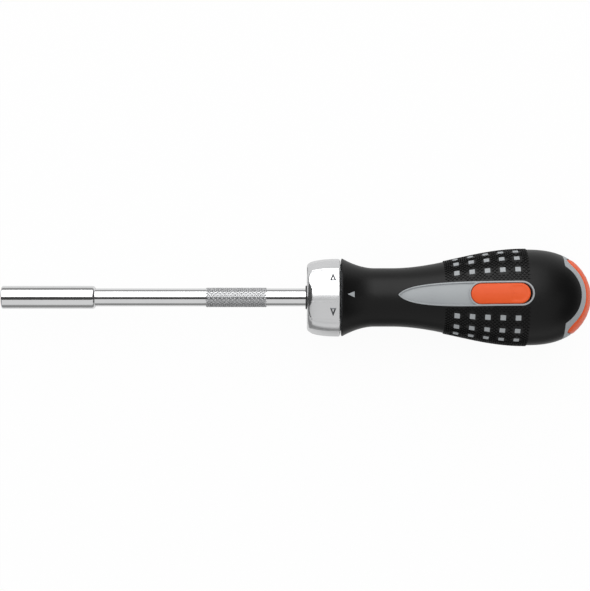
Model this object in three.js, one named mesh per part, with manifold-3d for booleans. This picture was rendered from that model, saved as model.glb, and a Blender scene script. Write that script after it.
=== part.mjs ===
// Ratchet screwdriver with a magnetic bit holder and a bit magazine in the handle. Millimetres.
// X runs along the shaft from the bit's seat to the butt, and Z points out of the release button.
import * as THREE from "three";
import { mergeVertices } from "three/addons/utils/BufferGeometryUtils.js";
import Module from "manifold-3d";

const wasm = await Module();
wasm.setup();

// Clearances
const FIT_GAP = 0.1; // between pieces that are fixed together
const RUN_GAP = 0.3; // between pieces that move past each other
const SKIN_GAP = 0.15; // between the rubber skin and the core
const OVERCUT = 1; // how far a cut runs past the face that it opens

// Bit sleeve, magnet and shaft
const BIT_FLATS = 6.35;
const BIT_LENGTH = 25;
const BIT_CHAMFER = 0.6;
const BIT_NECK = 0.33; // neck radius, as a share of the flats
const BIT_HEX_SHARE = 0.56; // of the bit's length
const SOCKET_PLAY = 0.15;
const SOCKET_DEPTH = 12;
const SLEEVE_WALL = 0.76;
const SLEEVE_NOSE = 0.5;
const SLEEVE_SHOULDER = 1.3;
const SHAFT_IN_SLEEVE = 21.4;
const MAGNET_LENGTH = 4;
const MAGNET_DIAMETER = 5.6;
const SHAFT_DIAMETER = 7.2;
const SHAFT_CHAMFER = 0.4;
const SHAFT_SHOWN = 84.6;
const KNURL_LENGTH = 23.9;
const KNURL_TO_RING = 16.3;
const KNURL_HEIGHT = 0.32;

// Ratchet
const DRIVE_SHARE = 0.83; // the hex drive's flats, as a share of the shaft's diameter
const GEAR_TEETH = 24;
const GEAR_WALL = 1.45;
const TOOTH_DEPTH = 1.1;
const TOOTH_FOOT = 0.37; // shares of the pitch, from a tooth's middle
const TOOTH_HEAD = 0.13;
const GEAR_LENGTH = 6;
const WASHER_THICKNESS = 0.6;
const COVER_THICKNESS = 1.5;
const HOUSING_WALL = 2.8;
const SPIGOT_LENGTH = 22;
const SPIGOT_WALL = 2;
const SPIGOT_FLAT = 0.88;
const CLIP_REACH = 1.4;
const CLIP_THICKNESS = 0.8;
const CLIP_GROOVE = 0.6;
const CLIP_MOUTH = 2;
const JOURNAL_LENGTH = 16;
const PAWL_PIN_DIAMETER = 1.4;
const PAWL_PIN_TO_GEAR = 2.2;
const PAWL_PIN_SEAT = 0.8;
const PAWL_BACK_WALL = 0.8;
const PAWL_BITE = 0.3;
const PAWL_ARM_GAP = 0.75;
const PAWL_WAIST_GAP = 0.45;
const PAWL_NOSE_ANGLE = THREE.MathUtils.degToRad(37.5);
const PAWL_TIP_SPREAD = THREE.MathUtils.degToRad(0.9);
const PAWL_ARM_SPREAD = THREE.MathUtils.degToRad(4.5);
const PAWL_ROOM = THREE.MathUtils.degToRad(17);
const SCREW_DIAMETER = 1.8;
const SCREW_HEAD_DIAMETER = 3.06;
const SCREW_HEAD_DEPTH = 0.8;
const SCREW_ANGLES = [105, 180, 255];

// Selector ring
const RING_FLATS = 7;
const RING_FRONT_WALL = 1.8;
const RING_SKIN = 0.5;
const RING_CORNER_ROUND = 7.8;
const RING_CROWN = [0.83, 0.92, 0.96, 0.985, 0.995, 1]; // shares of the flat radius, at even steps back
const RING_NOSE = [[0, 0.855], [0.25, 0.995], [0.42, 1.055]]; // shares of length and flat radius
const RING_BACK_CHAMFER = 0.6;
const RING_TO_GRIP = 0.4;
const BALL_DIAMETER = 2.2;
const BALL_SPRING_LENGTH = 2.1;
const BALL_SPRING_RADIUS = 0.75;
const BALL_SPRING_WIRE = 0.35;
const BUSH_SHOWN = 0.6;
const BUSH_WALL = 1.05;
const SNAP_WIRE = 1;
const SNAP_MOUTH = 3;

// Handle skin and core
const HANDLE_SIDES = 24;
const GRIP_THICKNESS = 2.2;
const CORE_WALL = 2.8;
const CORE_WEB = 12.5;
const LIP_RISE = 4.1;
const LIP_LENGTH = 13.2;
const LIP_POWER = 1.85;
const NECK_END = 20;
const BELLY_WALL = 6.08;
const DOME_LENGTH = 26.7;
const DOME_POWER = 2.63;
const STRIP_LEAD = 0.9;
const STRIP_BORDER = 2.9;
const PANEL_POINT = 28.2;
const PANEL_FIELD_POINT = 1.3;
const PANEL_RIM = 0.65;
const PANEL_PROUD = 0.35;
const PANEL_RECESS = 0.4;
const DOT_SIZE = 2.2;
const DOT_PITCH = 5.92;
const DOT_COLUMNS = 5;
const DOT_PROUD = 0.2;
const DOT_ROOT = 0.8;
const DOTS_AHEAD = 5.1;
const DOT_ANGLES = [30.1, 48.7, 66.6]; // from the top, at the belly
const DOT_BACK_ANGLES = [40, 58.5]; // from the back, at the belly
const DOT_FAN = 0.46; // how far the rows spread where the handle is slimmer
const INDEX_LENGTH = 2.8;
const INDEX_FROM_EDGE = 2.25;
const INDEX_SLANT = 0.43;
const INDEX_ROOT = 1.5;

// Release button
const BUTTON_HOLE_WIDTH = 8.4;
const BUTTON_AHEAD = 4.6;
const BUTTON_BEHIND = 11.9;
const BUTTON_BACK_GAP = 0.9;
const BUTTON_SUNK = 0.1;
const BUTTON_THICKNESS = 2.4;
const BUTTON_PIN_DIAMETER = 1.5;
const BUTTON_PIN_SEAT = 1.5;
const BUTTON_BOSS_RADIUS = 1.5;
const BUTTON_SPRING_RADIUS = 2.3;
const BUTTON_SPRING_WIRE = 0.5;
const BUTTON_SPRING_TURNS = 4.5;
const HOOK_LENGTH = 1.8;
const HOOK_TO_PIN = 5.8;
const LATCH_PLAY = 0.5;
const LATCH_BITE = 0.5;
const LATCH_WIDTH = 2.4;

// Magazine
const BIT_PITCH = 8;
const WEB_THICKNESS = 1.2;
const TRAY_RAIL = 1.6;
const TRAY_COVER = 0.35;
const TRAY_ROUND = 6.5;
const TRAY_BLOCK = 11;
const TRAY_TRAVEL = 32.5;
const TRAY_RIB = 2.5;
const TRAY_RIB_PLACES = [0.15, 0.42]; // shares of a bit's length
const LUG_LENGTH = 1.6;
const LUG_INSET = 0.6;
const ROOF_THICKNESS = 1.2;
const EJECT_SPRING_LENGTH = 18;
const EJECT_SHARE = 0.4; // of the tray's half width
const EJECT_WIRE = 1;
const EJECT_TURNS = 6;
const CAP_DEPTH = 10.5;
const CAP_LIP = 1.5;
const CAP_LIP_SIDE = 0.75;
const CAP_ROUND = 4;

// Places along X
const socketEnd = MAGNET_LENGTH + FIT_GAP;
const sleeveBack = socketEnd + SHAFT_IN_SLEEVE;
const ringFront = sleeveBack + SHAFT_SHOWN;
const knurlBack = ringFront - KNURL_TO_RING;
const knurlFront = knurlBack - KNURL_LENGTH;
const ringInside = ringFront + RING_FRONT_WALL;
const coverFront = ringInside + RUN_GAP;
const coverBack = coverFront + COVER_THICKNESS;
const housingFront = coverBack + FIT_GAP;
const gearFront = coverBack + RUN_GAP;
const gearBack = gearFront + GEAR_LENGTH;
const washerFront = gearBack + FIT_GAP;
const wallFront = washerFront + WASHER_THICKNESS + FIT_GAP;
const housingBack = wallFront + HOUSING_WALL;
const gripFront = housingBack + FIT_GAP;
const ringBack = gripFront - RING_TO_GRIP;
const spigotBack = housingBack + SPIGOT_LENGTH;
const springFloor = spigotBack + CORE_WEB;
const trayFront = springFloor + EJECT_SPRING_LENGTH;
const bayFront = trayFront + TRAY_BLOCK;
const bayBack = bayFront + BIT_LENGTH + 2 * RUN_GAP;
const capFront = bayBack + FIT_GAP;
const handleEnd = capFront + CAP_DEPTH;
const bellyAt = handleEnd - DOME_LENGTH;
const lugFront = trayFront + LUG_INSET;
const lugBack = lugFront + LUG_LENGTH;
const hookFront = lugBack + LATCH_PLAY;
const hookBack = hookFront + HOOK_LENGTH;
const buttonPinAt = hookBack + HOOK_TO_PIN;
const holeFront = hookFront - BUTTON_AHEAD;
const holeBack = buttonPinAt + BUTTON_BEHIND;

// Radii, from the shaft outwards
const shaftRadius = SHAFT_DIAMETER / 2;
const socketFlats = BIT_FLATS + 2 * SOCKET_PLAY;
const sleeveRadius = Math.max(hexCorner(socketFlats), shaftRadius) + SLEEVE_WALL;
const driveFlats = DRIVE_SHARE * SHAFT_DIAMETER;
const journalRadius = driveFlats / 2 - FIT_GAP;
const gearRoot = hexCorner(driveFlats) + FIT_GAP + GEAR_WALL;
const gearTip = gearRoot + TOOTH_DEPTH;
const pawlPivot = gearTip + PAWL_PIN_TO_GEAR;
const pawlHole = PAWL_PIN_DIAMETER / 2 + FIT_GAP;
const pawlBackRadius = pawlPivot + pawlHole + PAWL_BACK_WALL;
const housingRadius = pawlBackRadius + 2 * RUN_GAP;
const ringBore = housingRadius + RUN_GAP;
const ballAt = pawlBackRadius + RUN_GAP + BALL_DIAMETER / 2;
const springTop = ballAt + BALL_DIAMETER / 2 + BALL_SPRING_LENGTH;
const ringFlat = springTop + FIT_GAP + RING_SKIN;
const clipRadius = journalRadius + CLIP_REACH;
const spigotRadius = clipRadius + RUN_GAP + SPIGOT_WALL;
const spigotFlat = SPIGOT_FLAT * spigotRadius;
const neckRadius = spigotRadius + FIT_GAP + CORE_WALL + GRIP_THICKNESS;
const bitCorner = hexCorner(BIT_FLATS);
const bitHeight = WEB_THICKNESS / 2 + FIT_GAP + bitCorner;
const trayHalfZ = bitHeight + bitCorner + TRAY_COVER;
const trayHalfY = BIT_PITCH + BIT_FLATS / 2 + TRAY_RAIL;
const bellyRadius = trayHalfY + RUN_GAP + BELLY_WALL;
const capHalfY = trayHalfY + RUN_GAP + CAP_LIP;
const capHalfZ = trayHalfZ + RUN_GAP + CAP_LIP_SIDE;
const pocketFloor = trayHalfZ + RUN_GAP + ROOF_THICKNESS;
const buttonPinZ = pocketFloor + BUTTON_BOSS_RADIUS + 2 * RUN_GAP;
const ejectRadius = EJECT_SHARE * trayHalfY;
const lugTop = trayHalfZ + RUN_GAP + LATCH_BITE;

const chrome = material(0xd6d8da, 1, 0.12);
const steel = material(0x9a9da0, 1, 0.35);
const springSteel = material(0x8c9094, 1, 0.3);
const rubber = material(0x1d1c1d, 0, 0.7);
const blackPlastic = material(0x151515, 0, 0.5);
const greyPlastic = material(0xa9b0b4, 0, 0.55);
const orangePlastic = material(0xe8571f, 0, 0.4);

function material(color, metalness, roughness) {
  return new THREE.MeshStandardMaterial({ color, metalness, roughness });
}

function hexCorner(flats) {
  return flats / 2 / Math.cos(Math.PI / 6);
}

// A closed geometry as a solid that can be joined and cut.
function solid(geometry) {
  const bare = new THREE.BufferGeometry();
  bare.setAttribute("position", geometry.getAttribute("position"));
  if (geometry.index) bare.setIndex(geometry.index);
  const merged = mergeVertices(bare, 1e-4);
  const corners = merged.index.array;
  const kept = [];
  for (let i = 0; i < corners.length; i += 3) {
    const [a, b, c] = corners.slice(i, i + 3);
    if (a !== b && b !== c && c !== a) kept.push(a, b, c);
  }
  return new wasm.Manifold(new wasm.Mesh({
    numProp: 3,
    vertProperties: new Float32Array(merged.getAttribute("position").array),
    triVerts: new Uint32Array(kept),
  }));
}

function join(solids) {
  return solids.reduce((all, one) => all.add(one));
}

function piece(name, shape, surface) {
  const { vertProperties, triVerts, numProp } = shape.getMesh();
  const geometry = new THREE.BufferGeometry();
  const count = vertProperties.length / numProp;
  const positions = new Float32Array(count * 3);
  for (let i = 0; i < count; i++) {
    positions.set(vertProperties.subarray(i * numProp, i * numProp + 3), i * 3);
  }
  geometry.setAttribute("position", new THREE.BufferAttribute(positions, 3));
  geometry.setIndex(Array.from(triVerts));
  geometry.computeVertexNormals();
  const mesh = new THREE.Mesh(geometry, surface);
  mesh.name = name;
  return mesh;
}

// Turns an outline of [x, radius] points about the X axis. Its outside runs towards +X.
function turned(outline, segments = 24) {
  const points = outline.map(([x, r]) => new THREE.Vector2(r, x));
  return solid(new THREE.LatheGeometry(points, segments).rotateZ(-Math.PI / 2));
}

function rod(from, to, radius, segments = 24) {
  return turned([[from, 0], [from, radius], [to, radius], [to, 0]], segments);
}

function tube(from, to, inner, outer, segments = 24) {
  return turned([[from, inner], [from, outer], [to, outer], [to, inner], [from, inner]], segments);
}

// A shape drawn in Y and Z, drawn out along X.
function along(shape, from, to, curveSegments = 6) {
  const geometry = new THREE.ExtrudeGeometry(shape, { depth: to - from, bevelEnabled: false, curveSegments });
  const [x, y, z] = [new THREE.Vector3(1, 0, 0), new THREE.Vector3(0, 1, 0), new THREE.Vector3(0, 0, 1)];
  return solid(geometry.applyMatrix4(new THREE.Matrix4().makeBasis(y, z, x)).translate(from, 0, 0));
}

// A shape drawn in X and Y, drawn out along Z.
function upright(shape, from, to, curveSegments = 6) {
  const geometry = new THREE.ExtrudeGeometry(shape, { depth: to - from, bevelEnabled: false, curveSegments });
  return solid(geometry.translate(0, 0, from));
}

function box(x0, x1, y0, y1, z0, z1) {
  const geometry = new THREE.BoxGeometry(x1 - x0, y1 - y0, z1 - z0);
  return solid(geometry.translate((x0 + x1) / 2, (y0 + y1) / 2, (z0 + z1) / 2));
}

// A pin across the handle, along Y.
function crossRod(x, z, radius, halfLength, segments = 16) {
  return solid(new THREE.CylinderGeometry(radius, radius, 2 * halfLength, segments).translate(x, 0, z));
}

function hexShape(flats) {
  const shape = new THREE.Shape();
  for (let k = 0; k < 6; k++) {
    const angle = Math.PI / 6 + (k * Math.PI) / 3;
    const corner = [hexCorner(flats) * Math.cos(angle), hexCorner(flats) * Math.sin(angle)];
    if (k === 0) shape.moveTo(...corner);
    else shape.lineTo(...corner);
  }
  return shape.closePath();
}

function roundedRectangle(halfWidth, halfHeight, round) {
  const shape = new THREE.Shape();
  const [a, b] = [halfWidth - round, halfHeight - round];
  shape.absarc(a, b, round, 0, Math.PI / 2);
  shape.absarc(-a, b, round, Math.PI / 2, Math.PI);
  shape.absarc(-a, -b, round, Math.PI, 1.5 * Math.PI);
  shape.absarc(a, -b, round, 1.5 * Math.PI, 2 * Math.PI);
  return shape.closePath();
}

function stadium(from, to, halfWidth) {
  const shape = new THREE.Shape();
  shape.absarc(to - halfWidth, 0, halfWidth, -Math.PI / 2, Math.PI / 2);
  shape.absarc(from + halfWidth, 0, halfWidth, Math.PI / 2, 1.5 * Math.PI);
  return shape.closePath();
}

class Helix extends THREE.Curve {
  constructor(radius, length, turns) {
    super();
    Object.assign(this, { radius, length, turns });
  }

  getPoint(t) {
    const angle = t * this.turns * 2 * Math.PI;
    const x = t * this.length;
    return new THREE.Vector3(x, this.radius * Math.cos(angle), this.radius * Math.sin(angle));
  }
}

// A coil spring along X that fills the given length with its wire.
function coil(length, radius, wire, turns, stepsPerTurn = 7) {
  const round = new THREE.Shape().absarc(0, 0, wire / 2, 0, 2 * Math.PI);
  const path = new Helix(radius, length - wire, turns);
  const geometry = new THREE.ExtrudeGeometry(round, {
    extrudePath: path,
    steps: Math.ceil(turns * stepsPerTurn),
    curveSegments: 3,
  });
  return geometry.translate(wire / 2, 0, 0);
}

// Handle outline

function handleRadius(x) {
  const u = x - gripFront;
  if (x >= bellyAt) {
    const share = Math.min((x - bellyAt) / DOME_LENGTH, 1);
    return bellyRadius * Math.sqrt(1 - share ** DOME_POWER);
  }
  const riseEnd = bellyAt - gripFront;
  if (u >= NECK_END) {
    const turn = (Math.PI * (u - NECK_END)) / (riseEnd - NECK_END);
    return neckRadius + ((bellyRadius - neckRadius) * (1 - Math.cos(turn))) / 2;
  }
  const share = Math.max(1 - u / LIP_LENGTH, 0);
  return neckRadius + LIP_RISE * share ** LIP_POWER;
}

// The handle's outline as [x, radius] points, moved inwards by an inset.
function handleOutline(inset) {
  const riseEnd = bellyAt - gripFront;
  const places = [0, 0.2, 0.5, 1].map((share) => gripFront + share * LIP_LENGTH);
  for (let k = 0; k <= 5; k++) places.push(gripFront + NECK_END + (k / 5) * (riseEnd - NECK_END));
  for (let k = 1; k <= 5; k++) places.push(bellyAt + DOME_LENGTH * Math.sin((k / 5) * (Math.PI / 2)));
  return places.map((x) => {
    const step = 0.01;
    const [x0, x1] = [x - step, Math.min(x + step, handleEnd)];
    const slope = new THREE.Vector2(x1 - x0, handleRadius(x1) - handleRadius(x0)).normalize();
    if (x >= handleEnd - step) return [x - inset, 0];
    return [x + slope.y * inset, handleRadius(x) - slope.x * inset];
  });
}

function handleBody(inset) {
  const outline = handleOutline(inset).filter(([x]) => x > gripFront + 0.5);
  const lip = handleRadius(gripFront) - inset;
  return turned([[gripFront, 0], [gripFront, lip], ...outline], HANDLE_SIDES);
}

// Spindle: sleeve, magnet, shaft, gear and circlip

function bitSleeve() {
  const mouth = -SOCKET_DEPTH;
  const outside = turned([
    [mouth, 0],
    [mouth, sleeveRadius - SLEEVE_NOSE],
    [mouth + 0.3 * SLEEVE_NOSE, sleeveRadius - 0.3 * SLEEVE_NOSE],
    [mouth + SLEEVE_NOSE, sleeveRadius],
    [sleeveBack - SLEEVE_SHOULDER, sleeveRadius],
    [sleeveBack - 0.4 * SLEEVE_SHOULDER, sleeveRadius - 0.15 * SLEEVE_WALL],
    [sleeveBack, sleeveRadius - 0.5 * SLEEVE_WALL],
    [sleeveBack, 0],
  ]);
  const socket = along(hexShape(socketFlats), mouth - OVERCUT, socketEnd);
  const bore = rod(socketEnd - FIT_GAP, sleeveBack + OVERCUT, shaftRadius + FIT_GAP);
  return outside.subtract(socket).subtract(bore);
}

function driveShaft() {
  const front = socketEnd + FIT_GAP;
  const clipGroove = journalBack() - 2 * CLIP_THICKNESS;
  const turnedPart = turned([
    [front, 0],
    [front, shaftRadius - SHAFT_CHAMFER],
    [front + SHAFT_CHAMFER, shaftRadius],
    [knurlFront - KNURL_HEIGHT, shaftRadius],
    [knurlFront + KNURL_HEIGHT, shaftRadius + KNURL_HEIGHT],
    [knurlBack - KNURL_HEIGHT, shaftRadius + KNURL_HEIGHT],
    [knurlBack + KNURL_HEIGHT, shaftRadius],
    [gearFront, shaftRadius],
    [gearFront, journalRadius],
    [clipGroove, journalRadius],
    [clipGroove, journalRadius - CLIP_GROOVE],
    [clipGroove + CLIP_THICKNESS, journalRadius - CLIP_GROOVE],
    [clipGroove + CLIP_THICKNESS, journalRadius],
    [journalBack(), journalRadius],
    [journalBack(), 0],
  ]);
  return turnedPart.add(along(hexShape(driveFlats), gearFront - OVERCUT, gearBack));
}

function journalBack() {
  return wallFront + JOURNAL_LENGTH;
}

function ratchetGear() {
  const shape = new THREE.Shape();
  const pitch = (2 * Math.PI) / GEAR_TEETH;
  for (let k = 0; k < GEAR_TEETH; k++) {
    const corners = [
      [-TOOTH_FOOT, gearRoot], [-TOOTH_HEAD, gearTip], [TOOTH_HEAD, gearTip], [TOOTH_FOOT, gearRoot],
    ];
    for (const [share, radius] of corners) {
      const angle = (k + share) * pitch;
      const point = [radius * Math.cos(angle), radius * Math.sin(angle)];
      if (k === 0 && share === -TOOTH_FOOT) shape.moveTo(...point);
      else shape.lineTo(...point);
    }
  }
  const drive = along(hexShape(driveFlats + 2 * FIT_GAP), gearFront - OVERCUT, gearBack + OVERCUT);
  return along(shape.closePath(), gearFront, gearBack).subtract(drive);
}

function shaftCirclip() {
  const front = journalBack() - 2 * CLIP_THICKNESS + FIT_GAP;
  const back = front + CLIP_THICKNESS - 2 * FIT_GAP;
  const ring = tube(front, back, journalRadius - CLIP_GROOVE + FIT_GAP, clipRadius, 16);
  const half = CLIP_MOUTH / 2;
  return ring.subtract(box(front - OVERCUT, back + OVERCUT, -half, half, 0, clipRadius + OVERCUT));
}

// Ratchet in the handle: housing, cover, pins, bush, pawl and snap ring

function snapRingAt() {
  return (wallFront + RUN_GAP + ringBack) / 2;
}

// The snap ring's middle line lies halfway between the housing and the selector ring.
function snapRingRadius() {
  return (housingRadius + ringBore) / 2;
}

function pawlSector(from, to) {
  const spread = PAWL_NOSE_ANGLE + PAWL_ROOM;
  const reach = 2 * housingRadius;
  const shape = new THREE.Shape();
  shape.moveTo(0, 0);
  shape.lineTo(-reach * Math.sin(spread), -reach * Math.cos(spread));
  shape.lineTo(reach * Math.sin(spread), -reach * Math.cos(spread));
  return along(shape.closePath(), from, to);
}

// Where each cover screw stands: turns about X from the pawl's side.
function screwPlaces() {
  const radius = (gearTip + RUN_GAP + housingRadius) / 2;
  return SCREW_ANGLES.map((degrees) => {
    const angle = THREE.MathUtils.degToRad(degrees);
    return [radius * Math.sin(angle), -radius * Math.cos(angle)];
  });
}

function screwHole() {
  return SCREW_DIAMETER / 2 + FIT_GAP;
}

function ratchetHousing() {
  const groove = snapRingAt();
  const half = SNAP_WIRE / 2 + FIT_GAP;
  const body = turned([
    [housingFront, 0],
    [housingFront, housingRadius],
    [groove - half, housingRadius],
    [groove - half, snapRingRadius() - half - FIT_GAP],
    [groove + half, snapRingRadius() - half - FIT_GAP],
    [groove + half, housingRadius],
    [housingBack, housingRadius],
    [housingBack, spigotRadius],
    [spigotBack, spigotRadius],
    [spigotBack, 0],
  ]);
  const clipRoom = journalBack() - 2 * CLIP_THICKNESS - RUN_GAP;
  const [past, wide] = [spigotBack + OVERCUT, spigotRadius + OVERCUT];
  const cuts = [
    rod(housingFront - OVERCUT, wallFront, gearTip + RUN_GAP),
    rod(wallFront - OVERCUT, clipRoom + OVERCUT, journalRadius + FIT_GAP),
    rod(clipRoom, past, clipRadius + RUN_GAP),
    pawlSector(housingFront - OVERCUT, wallFront - FIT_GAP),
    box(housingBack, past, spigotFlat, wide, -spigotRadius, spigotRadius),
    box(housingBack, past, -wide, -spigotFlat, -spigotRadius, spigotRadius),
    rod(wallFront - OVERCUT, housingBack - PAWL_PIN_SEAT, pawlHole, 8).translate([0, 0, -pawlPivot]),
  ];
  for (const [y, z] of screwPlaces()) {
    cuts.push(rod(housingFront - OVERCUT, wallFront, screwHole(), 8).translate([0, y, z]));
  }
  return cuts.reduce((left, cut) => left.subtract(cut), body);
}

function housingCover() {
  const disc = rod(coverFront, coverBack, housingRadius);
  const cuts = [
    rod(coverFront - OVERCUT, coverBack + OVERCUT, shaftRadius + FIT_GAP),
    rod(coverBack - PAWL_PIN_SEAT, coverBack + OVERCUT, pawlHole, 8).translate([0, 0, -pawlPivot]),
  ];
  for (const [y, z] of screwPlaces()) {
    const head = SCREW_HEAD_DIAMETER / 2 + FIT_GAP;
    cuts.push(rod(coverFront - OVERCUT, coverBack + OVERCUT, screwHole(), 8).translate([0, y, z]));
    cuts.push(rod(coverFront - OVERCUT, coverFront + SCREW_HEAD_DEPTH, head, 8).translate([0, y, z]));
  }
  return cuts.reduce((left, cut) => left.subtract(cut), disc);
}

function coverScrew() {
  const [thread, head] = [SCREW_DIAMETER / 2, SCREW_HEAD_DIAMETER / 2];
  const front = coverFront + FIT_GAP / 2;
  const shoulder = coverFront + SCREW_HEAD_DEPTH - FIT_GAP;
  const end = wallFront - OVERCUT;
  const outline = [[front, 0], [front, head], [shoulder, head], [shoulder, thread], [end, thread], [end, 0]];
  return turned(outline, 8);
}

function pawl() {
  const polar = (radius, angle) => [radius * Math.sin(angle), -radius * Math.cos(angle)];
  const nose = PAWL_NOSE_ANGLE;
  const tip = gearTip - PAWL_BITE;
  const arm = gearTip + PAWL_ARM_GAP;
  const shape = new THREE.Shape();
  const wing = (side) => [
    polar(arm, side * (nose - PAWL_ARM_SPREAD)),
    polar(tip, side * (nose - PAWL_TIP_SPREAD)),
    polar(tip, side * (nose + PAWL_TIP_SPREAD)),
    polar(arm, side * (nose + PAWL_ARM_SPREAD)),
  ];
  shape.moveTo(0, -(gearTip + PAWL_WAIST_GAP));
  for (const point of wing(1)) shape.lineTo(...point);
  const backEnd = nose - PAWL_TIP_SPREAD;
  shape.absarc(0, 0, pawlBackRadius, backEnd - Math.PI / 2, -backEnd - Math.PI / 2, true);
  for (const point of wing(-1).reverse()) shape.lineTo(...point);
  const body = along(shape.closePath(), gearFront, gearBack, 8);
  const hole = rod(gearFront - OVERCUT, gearBack + OVERCUT, pawlHole, 8);
  return body.subtract(hole.translate([0, 0, -pawlPivot]));
}

// Selector: ring, ball and spring

function selectorRing() {
  const corner = (ringFlat - RING_CORNER_ROUND) / Math.cos(Math.PI / RING_FLATS);
  const shape = new THREE.Shape();
  for (let k = 0; k < RING_FLATS; k++) {
    const angle = Math.PI / 2 + (k * 2 * Math.PI) / RING_FLATS;
    const [y, z] = [corner * Math.cos(angle), corner * Math.sin(angle)];
    shape.absarc(y, z, RING_CORNER_ROUND, angle - Math.PI / RING_FLATS, angle + Math.PI / RING_FLATS);
  }
  const depth = ringBack - ringFront;
  const steps = RING_CROWN.length - 1;
  const prism = new THREE.ExtrudeGeometry(shape, { depth, steps, bevelEnabled: false, curveSegments: 2 });
  const corners = prism.getAttribute("position");
  for (let i = 0; i < corners.count; i++) {
    const scale = RING_CROWN[Math.round((corners.getZ(i) / depth) * steps)];
    corners.setXY(i, corners.getX(i) * scale, corners.getY(i) * scale);
  }
  const basis = new THREE.Matrix4().makeBasis(
    new THREE.Vector3(0, 1, 0), new THREE.Vector3(0, 0, 1), new THREE.Vector3(1, 0, 0));
  const blank = solid(prism.applyMatrix4(basis).translate(ringFront, 0, 0));
  const nose = RING_NOSE.map(([share, reach]) => [ringFront + share * depth, reach * ringFlat]);
  const wide = nose.at(-1)[1];
  const nut = turned([
    [ringFront, 0],
    ...nose,
    [ringBack - 2 * RING_BACK_CHAMFER, wide],
    [ringBack, wide - RING_BACK_CHAMFER],
    [ringBack, 0],
  ], 4 * RING_FLATS);
  const groove = snapRingAt();
  const half = SNAP_WIRE / 2 + FIT_GAP;
  const ballHole = rod(0, springTop + FIT_GAP, BALL_DIAMETER / 2 + FIT_GAP, 8).rotate([0, 90, 0]);
  const cuts = [
    rod(ringInside, ringBack + OVERCUT, ringBore),
    rod(ringFront - OVERCUT, ringInside + OVERCUT, bushRadius() + RUN_GAP / 2),
    rod(groove - half, groove + half, snapRingRadius() + half + FIT_GAP),
    ballHole.translate([gearMiddle(), 0, 0]),
  ];
  return cuts.reduce((left, cut) => left.subtract(cut), blank.intersect(nut));
}

function gearMiddle() {
  return (gearFront + gearBack) / 2;
}

function bushRadius() {
  return shaftRadius + FIT_GAP + BUSH_WALL;
}

function frontBush() {
  return tube(ringFront - BUSH_SHOWN, coverFront - FIT_GAP, shaftRadius + FIT_GAP, bushRadius());
}

function ringSnap() {
  const at = snapRingAt();
  const middle = snapRingRadius();
  const outline = [];
  for (let k = 0; k <= 6; k++) {
    const angle = -(k / 6) * 2 * Math.PI;
    outline.push([at + (SNAP_WIRE / 2) * Math.cos(angle), middle - (SNAP_WIRE / 2) * Math.sin(angle)]);
  }
  const ring = turned(outline.reverse(), 18);
  const half = SNAP_MOUTH / 2;
  return ring.subtract(box(at - SNAP_WIRE, at + SNAP_WIRE, -half, half, 0, 2 * middle));
}

// Handle: core and skin

function panelShape(grow) {
  const half = BUTTON_HOLE_WIDTH / 2 + PANEL_RIM + grow;
  const tip = holeFront - PANEL_POINT - grow;
  const back = holeBack + PANEL_RIM + grow;
  const side = holeFront + 3;
  const run = side - tip;
  const shape = new THREE.Shape();
  shape.moveTo(tip, 0);
  shape.bezierCurveTo(tip + 0.02 * run, -0.9 * half, tip + 0.42 * run, -half, side, -half);
  shape.absarc(back - half, 0, half, -Math.PI / 2, Math.PI / 2);
  shape.lineTo(side, half);
  shape.bezierCurveTo(tip + 0.42 * run, half, tip + 0.02 * run, 0.9 * half, tip, 0);
  return shape;
}

// Square posts through the skin, one for each dot, that stand out of it by the given height.
function dotPosts(grow, proud) {
  const size = DOT_SIZE + 2 * grow;
  const depth = GRIP_THICKNESS + SKIN_GAP + DOT_ROOT;
  const posts = [];
  for (let column = 0; column < DOT_COLUMNS; column++) {
    const x = holeFront - DOTS_AHEAD + column * DOT_PITCH;
    const slope = Math.atan((handleRadius(x + 0.1) - handleRadius(x - 0.1)) / 0.2);
    const fan = (bellyRadius / handleRadius(x)) ** DOT_FAN;
    const front = DOT_ANGLES.map((angle) => fan * angle);
    const back = DOT_BACK_ANGLES.map((angle) => 180 - fan * angle);
    const turns = [...front, ...back];
    for (const degrees of [...turns, ...turns.map((turn) => -turn)]) {
      const post = new THREE.BoxGeometry(size, size, depth + proud).translate(0, 0, (proud - depth) / 2);
      post.rotateY(-slope).translate(x, 0, handleRadius(x)).rotateX(THREE.MathUtils.degToRad(degrees));
      posts.push(solid(post));
    }
  }
  return wasm.Manifold.union(posts);
}

function indexMark(grow) {
  const front = gripFront + INDEX_FROM_EDGE - 2 * grow;
  const back = gripFront + INDEX_FROM_EDGE + INDEX_LENGTH + grow;
  const half = (back - front) * INDEX_SLANT;
  const shape = new THREE.Shape();
  shape.moveTo(front, 0);
  shape.lineTo(back, -half);
  shape.lineTo(back, half);
  return upright(shape.closePath(), neckRadius - GRIP_THICKNESS - INDEX_ROOT, bellyRadius);
}

function buttStrip(grow) {
  const half = capHalfZ + STRIP_BORDER + grow;
  const reach = 2 * bellyRadius;
  return box(capFront - STRIP_LEAD - grow, handleEnd + OVERCUT, -reach, reach, -half, half);
}

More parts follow.
